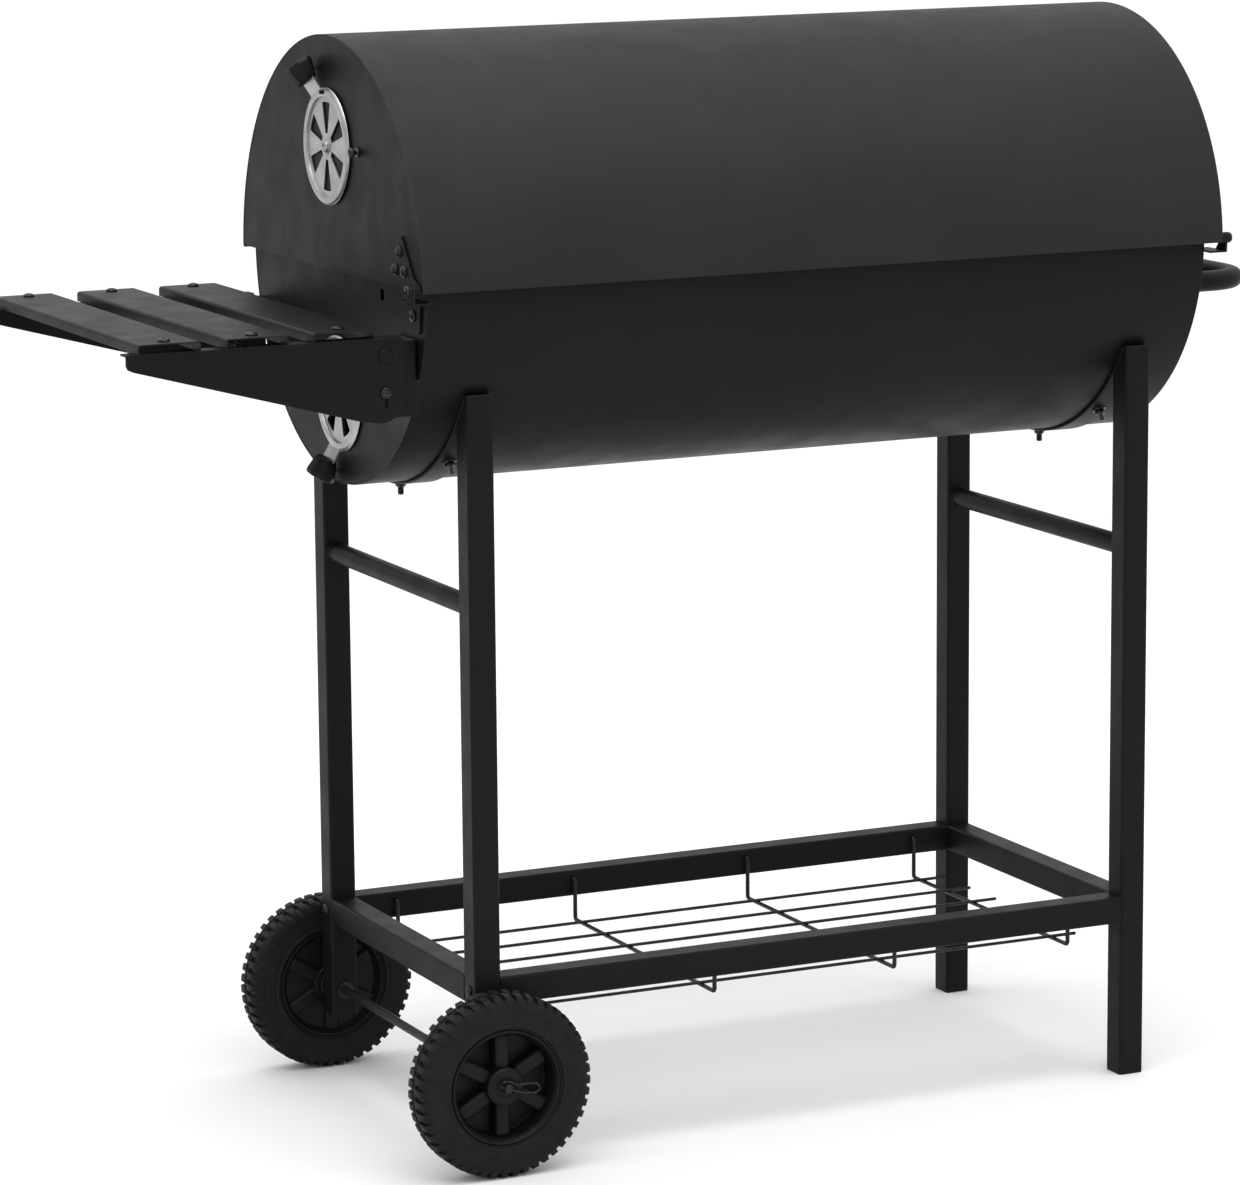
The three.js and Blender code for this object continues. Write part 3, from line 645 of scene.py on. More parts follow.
# The lid's skin takes the lighter copy of the coat, which is painted light.
make_skin("lid", "lid", LIT_LID_COAT, LID_RADIUS, LID_LIFT, math.pi - LID_LIFT,
          (LID_MIDDLE, LID_AXIS), LID_END)
make_drum_ends()
make_lid_ends()
make_lid_handle()


# ---- Fasteners ----
def dome_head_mesh(name, radius, height, material, cross=0.0, washer=0.0):
    """A domed head standing on z = 0, with a cross recess and a washer when their sizes are given."""
    bm = bmesh.new()
    steps = 7
    quarter = arc(1, 0, math.pi / 2, steps)
    dome = [(radius * a, 0.25 * height + 0.75 * height * b) for a, b in quarter]
    dome[-1] = (0, height)
    lathe(bm, [(0, -0.6), (radius * 0.97, -0.6), (radius, 0.1), *dome], 32)
    if cross:
        cutters = []
        for turn in (0, math.pi / 2):
            cutter = bmesh.new()
            depth = height * 0.6
            wide, narrow = cross, cross * 0.55
            blade = [(-wide, height + 1), (-narrow, height - depth), (narrow, height - depth),
                     (wide, height + 1)]
            prism(cutter, [blade], -cross * 0.22, cross * 0.22,
                  Matrix.Rotation(turn, 4, "Z") @ ALONG_Y)
            cutters.append(cutter)
        bm = combine(bm, cutters, "DIFFERENCE")
    if washer:
        lathe(bm, [(0, -0.8), (washer, -0.8), (washer, -0.2), (washer - 0.3, 0.05), (0, 0.05)], 32)
    return make_mesh(name, bm, material, 32)


def nut_mesh(name, across, height, stud, reach, material):
    """A chamfered hexagon nut on a washer at z = 0, with the end of its threaded stud."""
    bm = bmesh.new()
    washer = across * 0.76
    lathe(bm, [(0, -0.3), (washer, -0.3), (washer, 0.9), (washer - 0.4, 1.2), (0, 1.2)], 32)
    corner = across / 2 / math.cos(math.pi / 6)
    hexagon = bmesh.new()
    prism(hexagon, [circle(corner, 6)], 1.0, 1.2 + height)
    cone = bmesh.new()
    top = 1.2 + height
    lathe(cone, [(0, 0.5), (corner + 1, 0.5), (corner + 1, top - 0.28 * across),
                 (across / 2 * 0.93, top), (0, top)], 32)
    absorb(bm, combine(hexagon, [cone], "INTERSECT"))
    threads = []
    pitch = 1.0
    level = top - 0.5
    while level < reach - pitch:
        threads += [(stud * 0.86, level), (stud, level + pitch / 2)]
        level += pitch
    lathe(bm, [(0, top - 0.6), *threads, (stud * 0.86, level), (stud * 0.8, reach), (0, reach)], 20)
    return make_mesh(name, bm, material, 32)


FACING = {
    "+x": Matrix.Rotation(math.pi / 2, 4, "Y"),
    "-x": Matrix.Rotation(-math.pi / 2, 4, "Y"),
    "+y": Matrix.Rotation(-math.pi / 2, 4, "X"),
    "-y": Matrix.Rotation(math.pi / 2, 4, "X"),
    "+z": Matrix.Identity(4),
    "-z": Matrix.Rotation(math.pi, 4, "X"),
}
PAN_HEAD = dome_head_mesh("pan_head", 5.2, 3.0, BOLT, 3.4)
BRIGHT_PAN_HEAD = dome_head_mesh("bright_pan_head", 5.5, 3.0, BRIGHT, 3.9, 6.8)
CARRIAGE_HEAD = dome_head_mesh("carriage_head", 6.6, 2.8, COAT)
NUT = nut_mesh("hex_nut", 10, 4.6, 2.9, 9, BOLT)
LONG_NUT = nut_mesh("hex_nut_on_long_stud", 8.5, 3.6, 2.9, 12, BOLT)
SMALL_NUT = nut_mesh("small_hex_nut", 8, 3.6, 2.4, 7.2, BOLT)


def fasten(name, mesh, body, spot, facing, spin=0.0, replaces=()):
    """One fastener at a spot, its axis along a named direction."""
    turn = FACING[facing] if isinstance(facing, str) else facing
    return place(name, mesh, body, replaces, at(*spot) @ turn @ Matrix.Rotation(spin, 4, "Z"))


# ---- Hinges ----
def add_eye(bm, near, far):
    """The rolled eye round the hinge's axis, between two levels along it."""
    spot = (HINGE.y, HINGE.z)
    add_plate(bm, [circle(HINGE_BARREL, 32, spot), circle(EYE_BORE, 24, spot)], (near, far), 0.3)


def make_lid_leaf(side, word):
    """The triangular upper leaf, with its rolled eye."""
    face_x = LID_END + 0.2
    bm = bmesh.new()
    outline = [(146, 793), (149, 786), (157, 784.5), (HINGE.y - 2, HINGE.z - 1.5),
               (HINGE.y + 3, HINGE.z + 3), (195, 792), (173, 822.5), (170.5, 825), (166.5, 825),
               (164, 822.5)]
    add_plate(bm, [outline], span(side, face_x, face_x + STRIP), 0.4)
    add_eye(bm, *span(side, face_x, face_x + EYE_LENGTH))
    piece(f"hinge_upper_leaf_{word}_side", bm, COAT, "lid", [f"hinge_lid_leaf_{word}_side"])
    for i, (y, z) in enumerate(((168, 812), (159, 796), (178, 796))):
        spot = (side * (face_x + STRIP), y, z)
        fasten(f"hinge_upper_screw_{word}_{i + 1}", PAN_HEAD, "lid", spot, outward(side, "x"), 0.4 * i)


def make_drum_leaf(side, word):
    """The lower leaf: a flat tab, a step out past the lid's end and the other eye."""
    low, high = local_box(f"hinge_drum_leaf_{word}_side")
    outer = high.x if side > 0 else -low.x
    eye_start = outer - EYE_LENGTH
    face_x = DRUM_END + 0.1
    bm = bmesh.new()
    tab = [(154, 744), (156, 742), (182, 742), (184, 744), (187, 771.7), (156, 771.7)]
    add_plate(bm, [tab], span(side, face_x, face_x + STRIP), 0.4)
    near, far = span(side, face_x, eye_start + STRIP)
    step = [(near, 176), (far, 176), (far, 208), (near, 208)]
    add_plate(bm, [step], (770, 770 + STRIP), 0.4, ALONG_Z)
    web = [(190, 770.2), (208.8, 770.2), (HINGE.y + 4.6, HINGE.z), (HINGE.y - 4.6, HINGE.z)]
    add_plate(bm, [web], span(side, eye_start, eye_start + STRIP), 0.3)
    add_eye(bm, *span(side, eye_start, outer))
    piece(f"hinge_lower_leaf_{word}_side", bm, COAT, "grill", [f"hinge_drum_leaf_{word}_side"])
    spot = (side * (face_x + STRIP), 172, 757)
    fasten(f"hinge_lower_screw_{word}", PAN_HEAD, "grill", spot, outward(side, "x"), 0.3)


def make_hinge_pin(side, word):
    low, high = local_box(f"hinge_pin_{word}_side")
    start, end = (low.x, high.x) if side > 0 else (-high.x, -low.x)
    bm = bmesh.new()
    profile = [(0, start), (2.2, start), (2.5, start + 0.4), (2.5, end - 2), (4.2, end - 2),
               (4.5, end - 1.6), (4.2, end - 0.5), (3, end), (0, end)]
    lathe(bm, profile, 28, at(0, HINGE.y, HINGE.z) @ FACING[outward(side, "x")])
    piece(f"hinge_rivet_{word}_side", bm, BOLT, "grill", [f"hinge_pin_{word}_side"])


for side, word in ENDS:
    make_lid_leaf(side, word)
    make_drum_leaf(side, word)
    make_hinge_pin(side, word)


# ---- Dampers ----
def damper_height(radius):
    """Middle of the pressed sheet above the end plate: a raised rim round a flat field."""
    rises = ((42.8, 0.9), (43.6, 0.9), (44.0, 2.7), (44.8, 3.0), (48.6, 3.0), (50.2, 2.5),
             (51.1, 1.6), (51.5, 0.9))
    if radius <= rises[0][0]:
        return rises[0][1]
    for (r0, h0), (r1, h1) in zip(rises, rises[1:]):
        if radius <= r1:
            return h0 + (h1 - h0) * (radius - r0) / (r1 - r0)
    return rises[-1][1]


def make_damper_disc(bm):
    """One pressed surface with six openings, then given its thickness. Height is along Z."""
    radii = [2.4, 3.6, 7, VANE_INNER, 18, 25, 32, VANE_OUTER, 41, 42.8, 43.6, 44.0, 44.8, 46.7, 48.6, 49.4,
             50.2, 51.1, 51.5]
    turns = []
    for i in range(VANES):
        centre = math.pi / 2 - LEVER_LEAN + math.tau * i / VANES
        turns += [(centre + VANE_HALF_ANGLE * k / 3, k < 3) for k in range(-3, 4)]
        gap = math.tau / VANES - 2 * VANE_HALF_ANGLE
        turns += [(centre + VANE_HALF_ANGLE + gap * k / 8, False) for k in range(1, 8)]
    grid = [[bm.verts.new((r * math.cos(t), r * math.sin(t), damper_height(r))) for r in radii]
            for t, _ in turns]
    opened = range(radii.index(VANE_INNER), radii.index(VANE_OUTER))
    for j, (_, in_vane) in enumerate(turns):
        one, two = grid[j], grid[(j + 1) % len(grid)]
        for i in range(len(radii) - 1):
            if not (in_vane and i in opened):
                bm.faces.new((one[i], one[i + 1], two[i + 1], two[i]))
    bmesh.ops.recalc_face_normals(bm, faces=bm.faces[:])
    bmesh.ops.solidify(bm, geom=bm.faces[:], thickness=SHEET)
    heights = [v.co.z for v in bm.verts]
    bmesh.ops.translate(bm, verts=bm.verts[:], vec=(0, 0, 0.3 - min(heights)))


def make_damper(word, body, face_x, pivot, turn, slotted):
    """Disc, lever and knob, drawn with Z out of the plate and Y to the lever."""
    matrix = at(face_x, pivot.y, pivot.z) @ Matrix.Rotation(turn, 4, "X") @ ALONG_X
    disc = bmesh.new()
    make_damper_disc(disc)
    rise = math.tan(LEVER_RISE)
    out = 2.4 + (LEVER_END + 3 - LEVER_BEND) * rise
    path = [(44.9, 2.5), (48, 2.6), (LEVER_BEND - 1, 2.6), (LEVER_BEND + 0.8, 3.0), (LEVER_END + 3, out)]
    lever = bmesh.new()
    ribbon(lever, path, 1.3, (-LEVER_WIDTH / 2, LEVER_WIDTH / 2), ALONG_X)
    bm = combine(disc, [lever], "UNION")
    if slotted:
        hole = bmesh.new()
        half = math.pi / 2
        slot = arc(1.7, -half, half, 8, (4.8, 47.2)) + arc(1.7, half, 3 * half, 8, (-4.8, 47.2))
        prism(hole, [slot], -2, 8, Matrix.Rotation(-SLOT_TURN, 4, "Z"))
        bm = combine(bm, [hole], "DIFFERENCE")
    bmesh.ops.transform(bm, matrix=matrix, verts=bm.verts[:])
    piece(f"{word}_damper_disc", bm, BRIGHT, body, [f"{word}_damper"], 28)

    knob = bmesh.new()
    make_knob(knob)
    start = LEVER_END + 0.6
    lift = 1.9 + (start - LEVER_BEND) * rise
    aim = at(0, start, lift) @ Matrix.Rotation(-math.pi / 2 + LEVER_RISE, 4, "X")
    bmesh.ops.transform(knob, matrix=matrix @ aim, verts=knob.verts[:])
    piece(f"{word}_damper_grip", knob, PLASTIC, body, [f"{word}_damper_knob"])


def make_knob(bm):
    """A tapered eight-sided grip, ribbed on two sides. The lever enters it at z = 0."""
    # Each row is (level, half width, reach towards the plate, reach away from it).
    levels = [(0, 11.5, 6.6, 10.5), (2, 12.8, 7.6, 12.0), (5.5, 13.4, 9.2, 13.0),
              (KNOB_LENGTH - 3, 14.6, 13.4, 14.2), (KNOB_LENGTH, 13.2, 12.0, 13.0)]
    sides = 8
    rings = []
    for level, across, inward, outward in levels:
        ring = []
        for i in range(sides):
            turn = math.tau * (i + 0.5) / sides
            depth = inward if turn < math.pi else outward
            ring.append(bm.verts.new((across * math.cos(turn), depth * math.sin(turn), level)))
        rings.append(ring)
    for one, two in zip(rings, rings[1:]):
        for i in range(sides):
            bm.faces.new((one[i], one[(i + 1) % sides], two[(i + 1) % sides], two[i]))
    bm.faces.new(rings[0])
    bm.faces.new(rings[-1])
    soften(bm, 1.3, 3, 20)
    for side in (1, -1):
        prism(bm, [[(-0.7, 6), (0.7, 6), (0.7, KNOB_LENGTH - 4), (-0.7, KNOB_LENGTH - 4)]],
              side * 8, side * 11.6, ALONG_Y)


def damper_screws(word, body, face_x, pivot):
    spot = (face_x + 2.3, pivot.y, pivot.z)
    fasten(f"{word}_damper_pivot_head", BRIGHT_PAN_HEAD, body, spot, "+x", 0.5,
           [f"{word}_damper_pivot_screw"])
    bm = bmesh.new()
    profile = [(0, -1), (2, -1), (2, 5.2), (4.3, 5.2), (4.6, 5.8), (4.2, 7.3), (3, 8.1), (0, 8.4)]
    stop = at(face_x, pivot.y + STOP_REACH, pivot.z) @ FACING["+x"]
    lathe(bm, profile, 28, stop)
    lathe(bm, [(0, 0), (4.2, 0), (4.4, 0.4), (4.2, 1.2), (0, 1.2)], 28, stop)
    piece(f"{word}_damper_stop", bm, BOLT, body, [f"{word}_damper_stop_screw"])


lid_pivot = joint_point("lid_damper_turn")
drum_pivot = joint_point("drum_damper_turn")
make_damper("lid", "lid_damper", LID_END, lid_pivot, LEVER_LEAN, True)
make_damper("drum", "drum_damper", DRUM_END, drum_pivot, math.pi - DRUM_LEVER_LEAN, False)
damper_screws("lid", "lid", LID_END, lid_pivot)
damper_screws("drum", "grill", DRUM_END, drum_pivot)


# ---- Cart frame ----
def tube_section(half=TUBE / 2, corner=TUBE_CORNER):
    return rounded_square(half, corner)


def hollow_tube(bm, low, high, matrix):
    """A straight square tube, open at both ends."""
    outside = tube_section()
    inside = tube_section(TUBE / 2 - TUBE_WALL, TUBE_CORNER - TUBE_WALL)
    size = len(outside)
    rings = []
    for section in (outside, inside):
        for level in (low, high):
            rings.append([bm.verts.new(matrix @ Vector((a, b, level))) for a, b in section])
    out_low, out_high, in_low, in_high = rings
    for i in range(size):
        j = (i + 1) % size
        bm.faces.new((out_low[i], out_low[j], out_high[j], out_high[i]))
        bm.faces.new((in_low[i], in_low[j], in_high[j], in_high[i]))
        bm.faces.new((out_low[i], out_low[j], in_low[j], in_low[i]))
        bm.faces.new((out_high[i], out_high[j], in_high[j], in_high[i]))


def make_leg(node, side_x, side_y):
    """A leg whose top is cut to the saddle's curve and capped."""
    low, _ = local_box(node)
    bm = bmesh.new()
    x, y = side_x * LEG_X, side_y * LEG_Y
    outline = []
    for (a, b), (c, d) in zip(tube_section(), tube_section()[1:] + tube_section()[:1]):
        pieces = max(1, round(math.hypot(c - a, d - b) / 2.5))
        outline += [(a + (c - a) * i / pieces, b + (d - b) * i / pieces) for i in range(pieces)]
    reach = SADDLE_INSIDE + SADDLE_THICKNESS + 0.3
    bottom = [bm.verts.new((x + a, y + b, low.z)) for a, b in outline]
    top = []
    for a, b in outline:
        height = DRUM_AXIS - math.sqrt(max(reach ** 2 - (y + b) ** 2, 0))
        top.append(bm.verts.new((x + a, y + b, min(LEG_TOP, height))))
    size = len(outline)
    for i in range(size):
        j = (i + 1) % size
        bm.faces.new((bottom[i], bottom[j], top[j], top[i]))
    bm.faces.new(bottom)
    bmesh.ops.triangulate(bm, faces=[bm.faces.new(top)])
    soften(bm, 0.6, 2, 50)
    piece(f"{node}_tube", bm, COAT, "grill", [node])


def make_rail(node, matrix, half_length, cutters=()):
    bm = bmesh.new()
    hollow_tube(bm, -half_length, half_length, matrix)
    if cutters:
        bm = combine(bm, list(cutters), "DIFFERENCE")
    piece(f"{node}_tube", bm, COAT, "grill", [node])


def weld(bm, loop):
    """A thin bead of weld round a closed loop of corners."""
    sweep(bm, loop, circle(WELD_RADIUS, 8), True)


def make_frame():
    for side_x, end in ENDS:
        for side_y, word in SIDES:
            make_leg(f"leg_{word}_side_{end}_end", side_x, side_y)
    hook_top = local_box("wire_tray")[1].z
    for side_y, word in SIDES:
        node = f"rail_{word}_side"
        cutters = []
        for x in TRAY_HOOK_XS:
            cutter = bmesh.new()
            inner = side_y * (LEG_Y - TUBE / 2)
            prism(cutter, [circle(3.0, 20, (x, hook_top - 2))], inner - 4, inner + 4, ALONG_Y)
            cutters.append(cutter)
        matrix = at(0, side_y * LEG_Y, RAIL_HEIGHT) @ ALONG_X
        make_rail(node, matrix, local_box(node)[1].x + 0.2, cutters)
    for side_x, end in ENDS:
        node = f"rail_{end}_end"
        make_rail(node, at(side_x * LEG_X, 0, RAIL_HEIGHT) @ ALONG_Y, local_box(node)[1].y + 0.2)
        make_cross_tube(side_x, end)
        make_saddle(side_x, end)
    make_frame_bolts()


def make_cross_tube(side_x, end):
    node = f"cross_tube_{end}_end"
    low, high = local_box(node)
    radius = (high.z - low.z) / 2
    height = (high.z + low.z) / 2
    bm = bmesh.new()
    lathe(bm, [(0, low.y - 0.2), (radius, low.y - 0.2), (radius, high.y + 0.2), (0, high.y + 0.2)], 40,
          at(side_x * LEG_X, 0, height) @ FACING["+y"])
    for side_y in (1, -1):
        weld(bm, [(side_x * LEG_X + a, side_y * (high.y - 0.2), height + b)
                  for a, b in circle(radius + 0.2, 32)])
    piece(f"{node}_bar", bm, COAT, "grill", [node])


def make_saddle(side_x, end):
    node = f"saddle_{end}_end"
    radius = SADDLE_INSIDE + SADDLE_THICKNESS / 2
    top = math.asin((DRUM_AXIS - local_box(node)[1].z) / radius)
    bm = bmesh.new()
    path = arc(radius, math.pi + top, math.tau - top, 120, (0, DRUM_AXIS))
    x = side_x * LEG_X
    half = TUBE / 2
    ribbon(bm, path, SADDLE_THICKNESS, (x - half, x - half + 2, x + half - 2, x + half), ALONG_X)
    soften(bm, 0.7, 3)
    piece(f"{node}_strap", bm, COAT, "grill", [node])
    reach = SADDLE_INSIDE + SADDLE_THICKNESS
    for i, lean in enumerate((-33, 0, 33)):
        turn = math.radians(lean)
        spot = (x, reach * math.sin(turn), DRUM_AXIS - reach * math.cos(turn))
        facing = Matrix.Rotation(math.pi + turn, 4, "X")
        fasten(f"saddle_nut_{end}_{i + 1}", LONG_NUT, "grill", spot, facing, 0.3 + i)
        inside = DRUM_RADIUS - SHEET
        spot = (x, inside * math.sin(turn), DRUM_AXIS - inside * math.cos(turn))
        fasten(f"saddle_bolt_head_{end}_{i + 1}", PAN_HEAD, "grill", spot, Matrix.Rotation(turn, 4, "X"))


def make_frame_bolts():
    """A bolt through each leg into the end rail's plate, with its head on the leg's outer face."""
    for side_x, end in ENDS:
        for side_y, word in SIDES:
            spot = (side_x * (LEG_X + TUBE / 2), side_y * LEG_Y, RAIL_HEIGHT)
            fasten(f"rail_bolt_{word}_{end}", PAN_HEAD, "grill", spot, outward(side_x, "x"), 0.6)


def make_foot_cap(side_y, word):
    """A plastic cap pushed into the open bottom of a long leg, flush with its sides."""
    node = f"foot_cap_{word}_side"
    leg_bottom = local_box(f"leg_{word}_side_handle_end")[0].z
    bm = bmesh.new()
    centre = at(-LEG_X, side_y * LEG_Y, 0)
    prism(bm, [rounded_square(TUBE / 2 - 0.1, TUBE_CORNER)], local_box(node)[0].z, leg_bottom + 0.4, centre)
    soften(bm, 0.8, 3)
    piece(f"{node}_moulding", bm, PLASTIC, "grill", [node])


make_frame()
for side_y, word in SIDES:
    make_foot_cap(side_y, word)


# ---- Wire tray ----
def make_wire_tray():
    low, high = local_box("wire_tray")
    wire, thin = TRAY_HOOK_WIRE, TRAY_WIRE
    floor_level = low.z + wire
    hook_level = high.z - wire
    drop = LEG_Y - TUBE / 2 - 4.5
    hook_end = high.y - 0.2
    bm = bmesh.new()
    for x in TRAY_HOOK_XS:
        rod(bm, [(x, -hook_end, hook_level), (x, -drop, hook_level), (x, -drop, floor_level),
                 (x, drop, floor_level), (x, drop, hook_level), (x, hook_end, hook_level)], wire, 14, 3.8, 7)
    for y in TRAY_WIRE_YS:
        level = floor_level + wire + thin - 0.5
        xs = (low.x, low.x + 0.6, high.x - 0.6, high.x)
        rod(bm, [(x, y, level) for x in xs], thin, 10)
    piece("wire_tray_wires", bm, ROD, "grill", ["wire_tray"])


make_wire_tray()


# ---- Wheels ----
def tyre_rows():
    """Half of the tyre's section as (groove, lug) pairs of (across, radius), from the tread's middle."""
    w = WHEEL_HALF_WIDTH
    bead = WHEEL_RADIUS - RIM_RADIUS - 0.1
    # Each row is the groove's distance across and depth below the tread, then the lug's where it differs.
    rows = [(0, 0.9), (0.9, 0.9), (1.2, 2.8), (2.2, 2.8), (2.5, 3.4, 2.5, 0.4), (3, 3.4, 3, 0),
            (9, 3.4, 9.4, 0), (12.6, 3.6, 13.4, 0.8), (14.9, 4.7, 15.6, 2.7), (16.2, 6.6, 16.7, 5.6),
            (16.9, 8.8, 17.1, 8.4), (17.2, 11), (17.2, 12.4), (16.7, 13.4), (17, 16), (17.2, 20),
            (16.9, 23), (16.4, 25), (w - 1.2, 25.8), (w - 0.8, 26.8), (w - 1.2, 27.8),
            (w - 3, 28.6), (w - 3.4, bead)]
    return [((row[0], WHEEL_RADIUS - row[1]), (row[-2], WHEEL_RADIUS - row[-1])) for row in rows]


def make_tyre(word, centre):
    """A grid of columns at every lug's edges; the two shoulders' lugs are staggered by half a pitch."""
    rows = tyre_rows()
    section = [(-1, row) for row in reversed(rows)] + [(1, row) for row in rows[1:]]
    pitch = math.tau / LUGS
    lug, slope = 0.60, 0.03
    marks = (0, slope, lug - slope, lug)
    columns = []
    for i in range(LUGS):
        for mark in marks:
            columns.append(((i + mark) * pitch, 1, mark in marks[1:3]))
            columns.append(((i + 0.5 + mark) * pitch, -1, mark in marks[1:3]))
    turns = sorted({round(turn % math.tau, 9) for turn, _, _ in columns})

    def is_lug(turn, shoulder):
        place_in_pitch = (turn / pitch - (0 if shoulder > 0 else 0.5)) % 1
        return slope * 0.5 < place_in_pitch < lug - slope * 0.5

    bm = bmesh.new()
    grid = []
    for turn in turns:
        column = []
        for shoulder, (groove, raised) in section:
            across, radius = raised if is_lug(turn, shoulder) else groove
            offset = (radius * math.sin(turn), shoulder * across, -radius * math.cos(turn))
            column.append(bm.verts.new(centre + Vector(offset)))
        grid.append(column)
    size = len(section)
    for one, two in zip(grid, grid[1:] + grid[:1]):
        for i in range(size):
            j = (i + 1) % size
            bm.faces.new((one[i], one[j], two[j], two[i]))
    piece(f"tyre_{word}_side_treaded", bm, RUBBER, f"wheel_{word}_side", [f"tyre_{word}_side"], 30)


def make_hub(side, word, centre):
    """Rim ring, sunk web, boss and round-topped spokes that stand out of both faces of the web."""
    matrix = at(*centre) @ FACING[outward(side, "y")]
    r = RIM_RADIUS - 0.2
    rim = [(r - 4.4, 12.6), (r - 3.2, 14.6), (r - 2.4, 15.6), (r - 1, 15.6), (r, 14.2)]
    inside = [(4.4, -20.5), (12.5, -20.5), (13.5, -19.5), (13.5, -14), (15.8, -14), (17, -12.8),
              (17, WEB_LEVEL - 1.2), (44.4, WEB_LEVEL - 1.2), (45.8, WEB_LEVEL - 2.6)]
    outside = [(46.2, 10), (45.8, WEB_LEVEL + 2.6), (44.4, WEB_LEVEL + 1.2), (17, WEB_LEVEL + 1.2),
               (17, 12.8), (15.8, 14), (9, 14), (8.4, 13.2), (6, 13.2), (5.4, 14), (4.4, 14)]
    bm = bmesh.new()
    lathe(bm, [*inside, *[(a, -b) for a, b in rim], *reversed(rim), *outside], 96, matrix)
    half = SPOKE_WIDTH / 2
    inner_end = arc(half, math.pi, math.tau, 16, (0, SPOKE_START + half))
    for i in range(SPOKES):
        spoke = bmesh.new()
        prism(spoke, [[*inner_end, (half + 0.5, 47.2), (-half - 0.5, 47.2)]], *SPOKE_LEVELS)
        soften(spoke, 4.2, 6, 50)
        turned = matrix @ Matrix.Rotation(math.tau * i / SPOKES, 4, "Z")
        bmesh.ops.transform(spoke, matrix=turned, verts=spoke.verts[:])
        absorb(bm, spoke)
    node = f"wheel_hub_{word}_side"
    piece(f"{node}_moulding", bm, PLASTIC, f"wheel_{word}_side", [node], 30)


def make_axle():
    low, high = local_box("axle")
    x = (low.x + high.x) / 2
    radius = AXLE_RADIUS
    height = (low.z + high.z) / 2
    bm = bmesh.new()
    lathe(bm, [(0, low.y), (radius - 0.8, low.y), (radius, low.y + 0.8), (radius, high.y - 0.8),
               (radius - 0.8, high.y), (0, high.y)], 32, at(x, 0, height) @ FACING["+y"])
    for side in (1, -1):
        inner = side * (LEG_Y - TUBE / 2)
        collar = [(radius, -0.4), (8, -0.4), (8.4, 0.2), (8.4, 1.0), (6.4, 1.3), (radius, 1.3)]
        for face_y, way in ((inner, -side), (inner + side * TUBE, side)):
            lathe(bm, collar, 28, at(x, face_y, height) @ FACING[outward(way, "y")])
    piece("axle_rod", bm, ROD, "grill", ["axle"])


def make_clip(side, word):
    """A hairpin clip: one straight leg through the axle and one bowed round it."""
    node = f"axle_clip_{word}_side"
    centre = middle(node)
    axle = middle("axle")
    line = [(0, -9), (0, 4), (0, 16), (1.6, 22), (2.6, 26), (6.5, 29.4), (10.4, 26), (9.6, 20),
            (7.6, 14), (5.4, 9), (5.6, 4.5), (6.1, 0), (5.4, -4), (4.2, -7)]
    turn = math.radians(-110)
    lying = Matrix.Rotation(turn, 4, "Y") @ Matrix.Rotation(math.pi / 2, 4, "X")
    points = [at(axle.x, centre.y, axle.z) @ lying @ Vector((*p, 0)) for p in smooth(line, 5)]
    bm = bmesh.new()
    rod(bm, points, 1.05, 12)
    piece(f"{node}_wire", bm, ROD, "grill", [node])


def smooth(points, steps):
    """A Catmull-Rom curve through points."""
    knots = [Vector(p) for p in points]
    result = []
    for i in range(len(knots) - 1):
        before = knots[max(i - 1, 0)]
        one, two = knots[i], knots[i + 1]
        after = knots[min(i + 2, len(knots) - 1)]
        for k in range(steps):
            t = k / steps
            bow = 2 * before - 5 * one + 4 * two - after
            turn = 3 * one - before - 3 * two + after
            result.append(0.5 * (2 * one + (two - before) * t + bow * t ** 2 + turn * t ** 3))
    result.append(knots[-1])
    return result


make_axle()
for side, word in SIDES:
    hub_centre = joint_point(f"wheel_{word}_side_spin")
    make_tyre(word, hub_centre)
    make_hub(side, word, hub_centre)
    make_clip(side, word)


# ---- Side shelf ----
def make_slat(node):
    low, high = local_box(node)
    half_sheet = SHEET / 2
    corner = 2.2
    top = high.z - half_sheet
    path = [(low.x + half_sheet, low.z)]
    path += arc(corner, math.pi, math.pi / 2, 6, (low.x + half_sheet + corner, top - corner))
    path += arc(corner, math.pi / 2, 0, 6, (high.x - half_sheet - corner, top - corner))
    path += [(high.x - half_sheet, low.z)]
    bm = bmesh.new()
    ribbon(bm, path, SHEET, (low.y, low.y + 2, 0, high.y - 2, high.y), ALONG_Y)
    soften(bm, 0.35)
    piece(f"{node}_channel", bm, COAT, "grill", [node])
    x = (low.x + high.x) / 2
    for side, word in SIDES:
        y = side * (local_box("shelf_bracket_hinge_side")[1].y - 7)
        fasten(f"{node}_screw_{word}", PAN_HEAD, "grill", (x, y, high.z), "+z", 0.5 * side + x)
        fasten(f"{node}_nut_{word}", SMALL_NUT, "grill", (x, y, high.z - SHEET - 7.5 - STRIP), "-z", 0.2 + x)


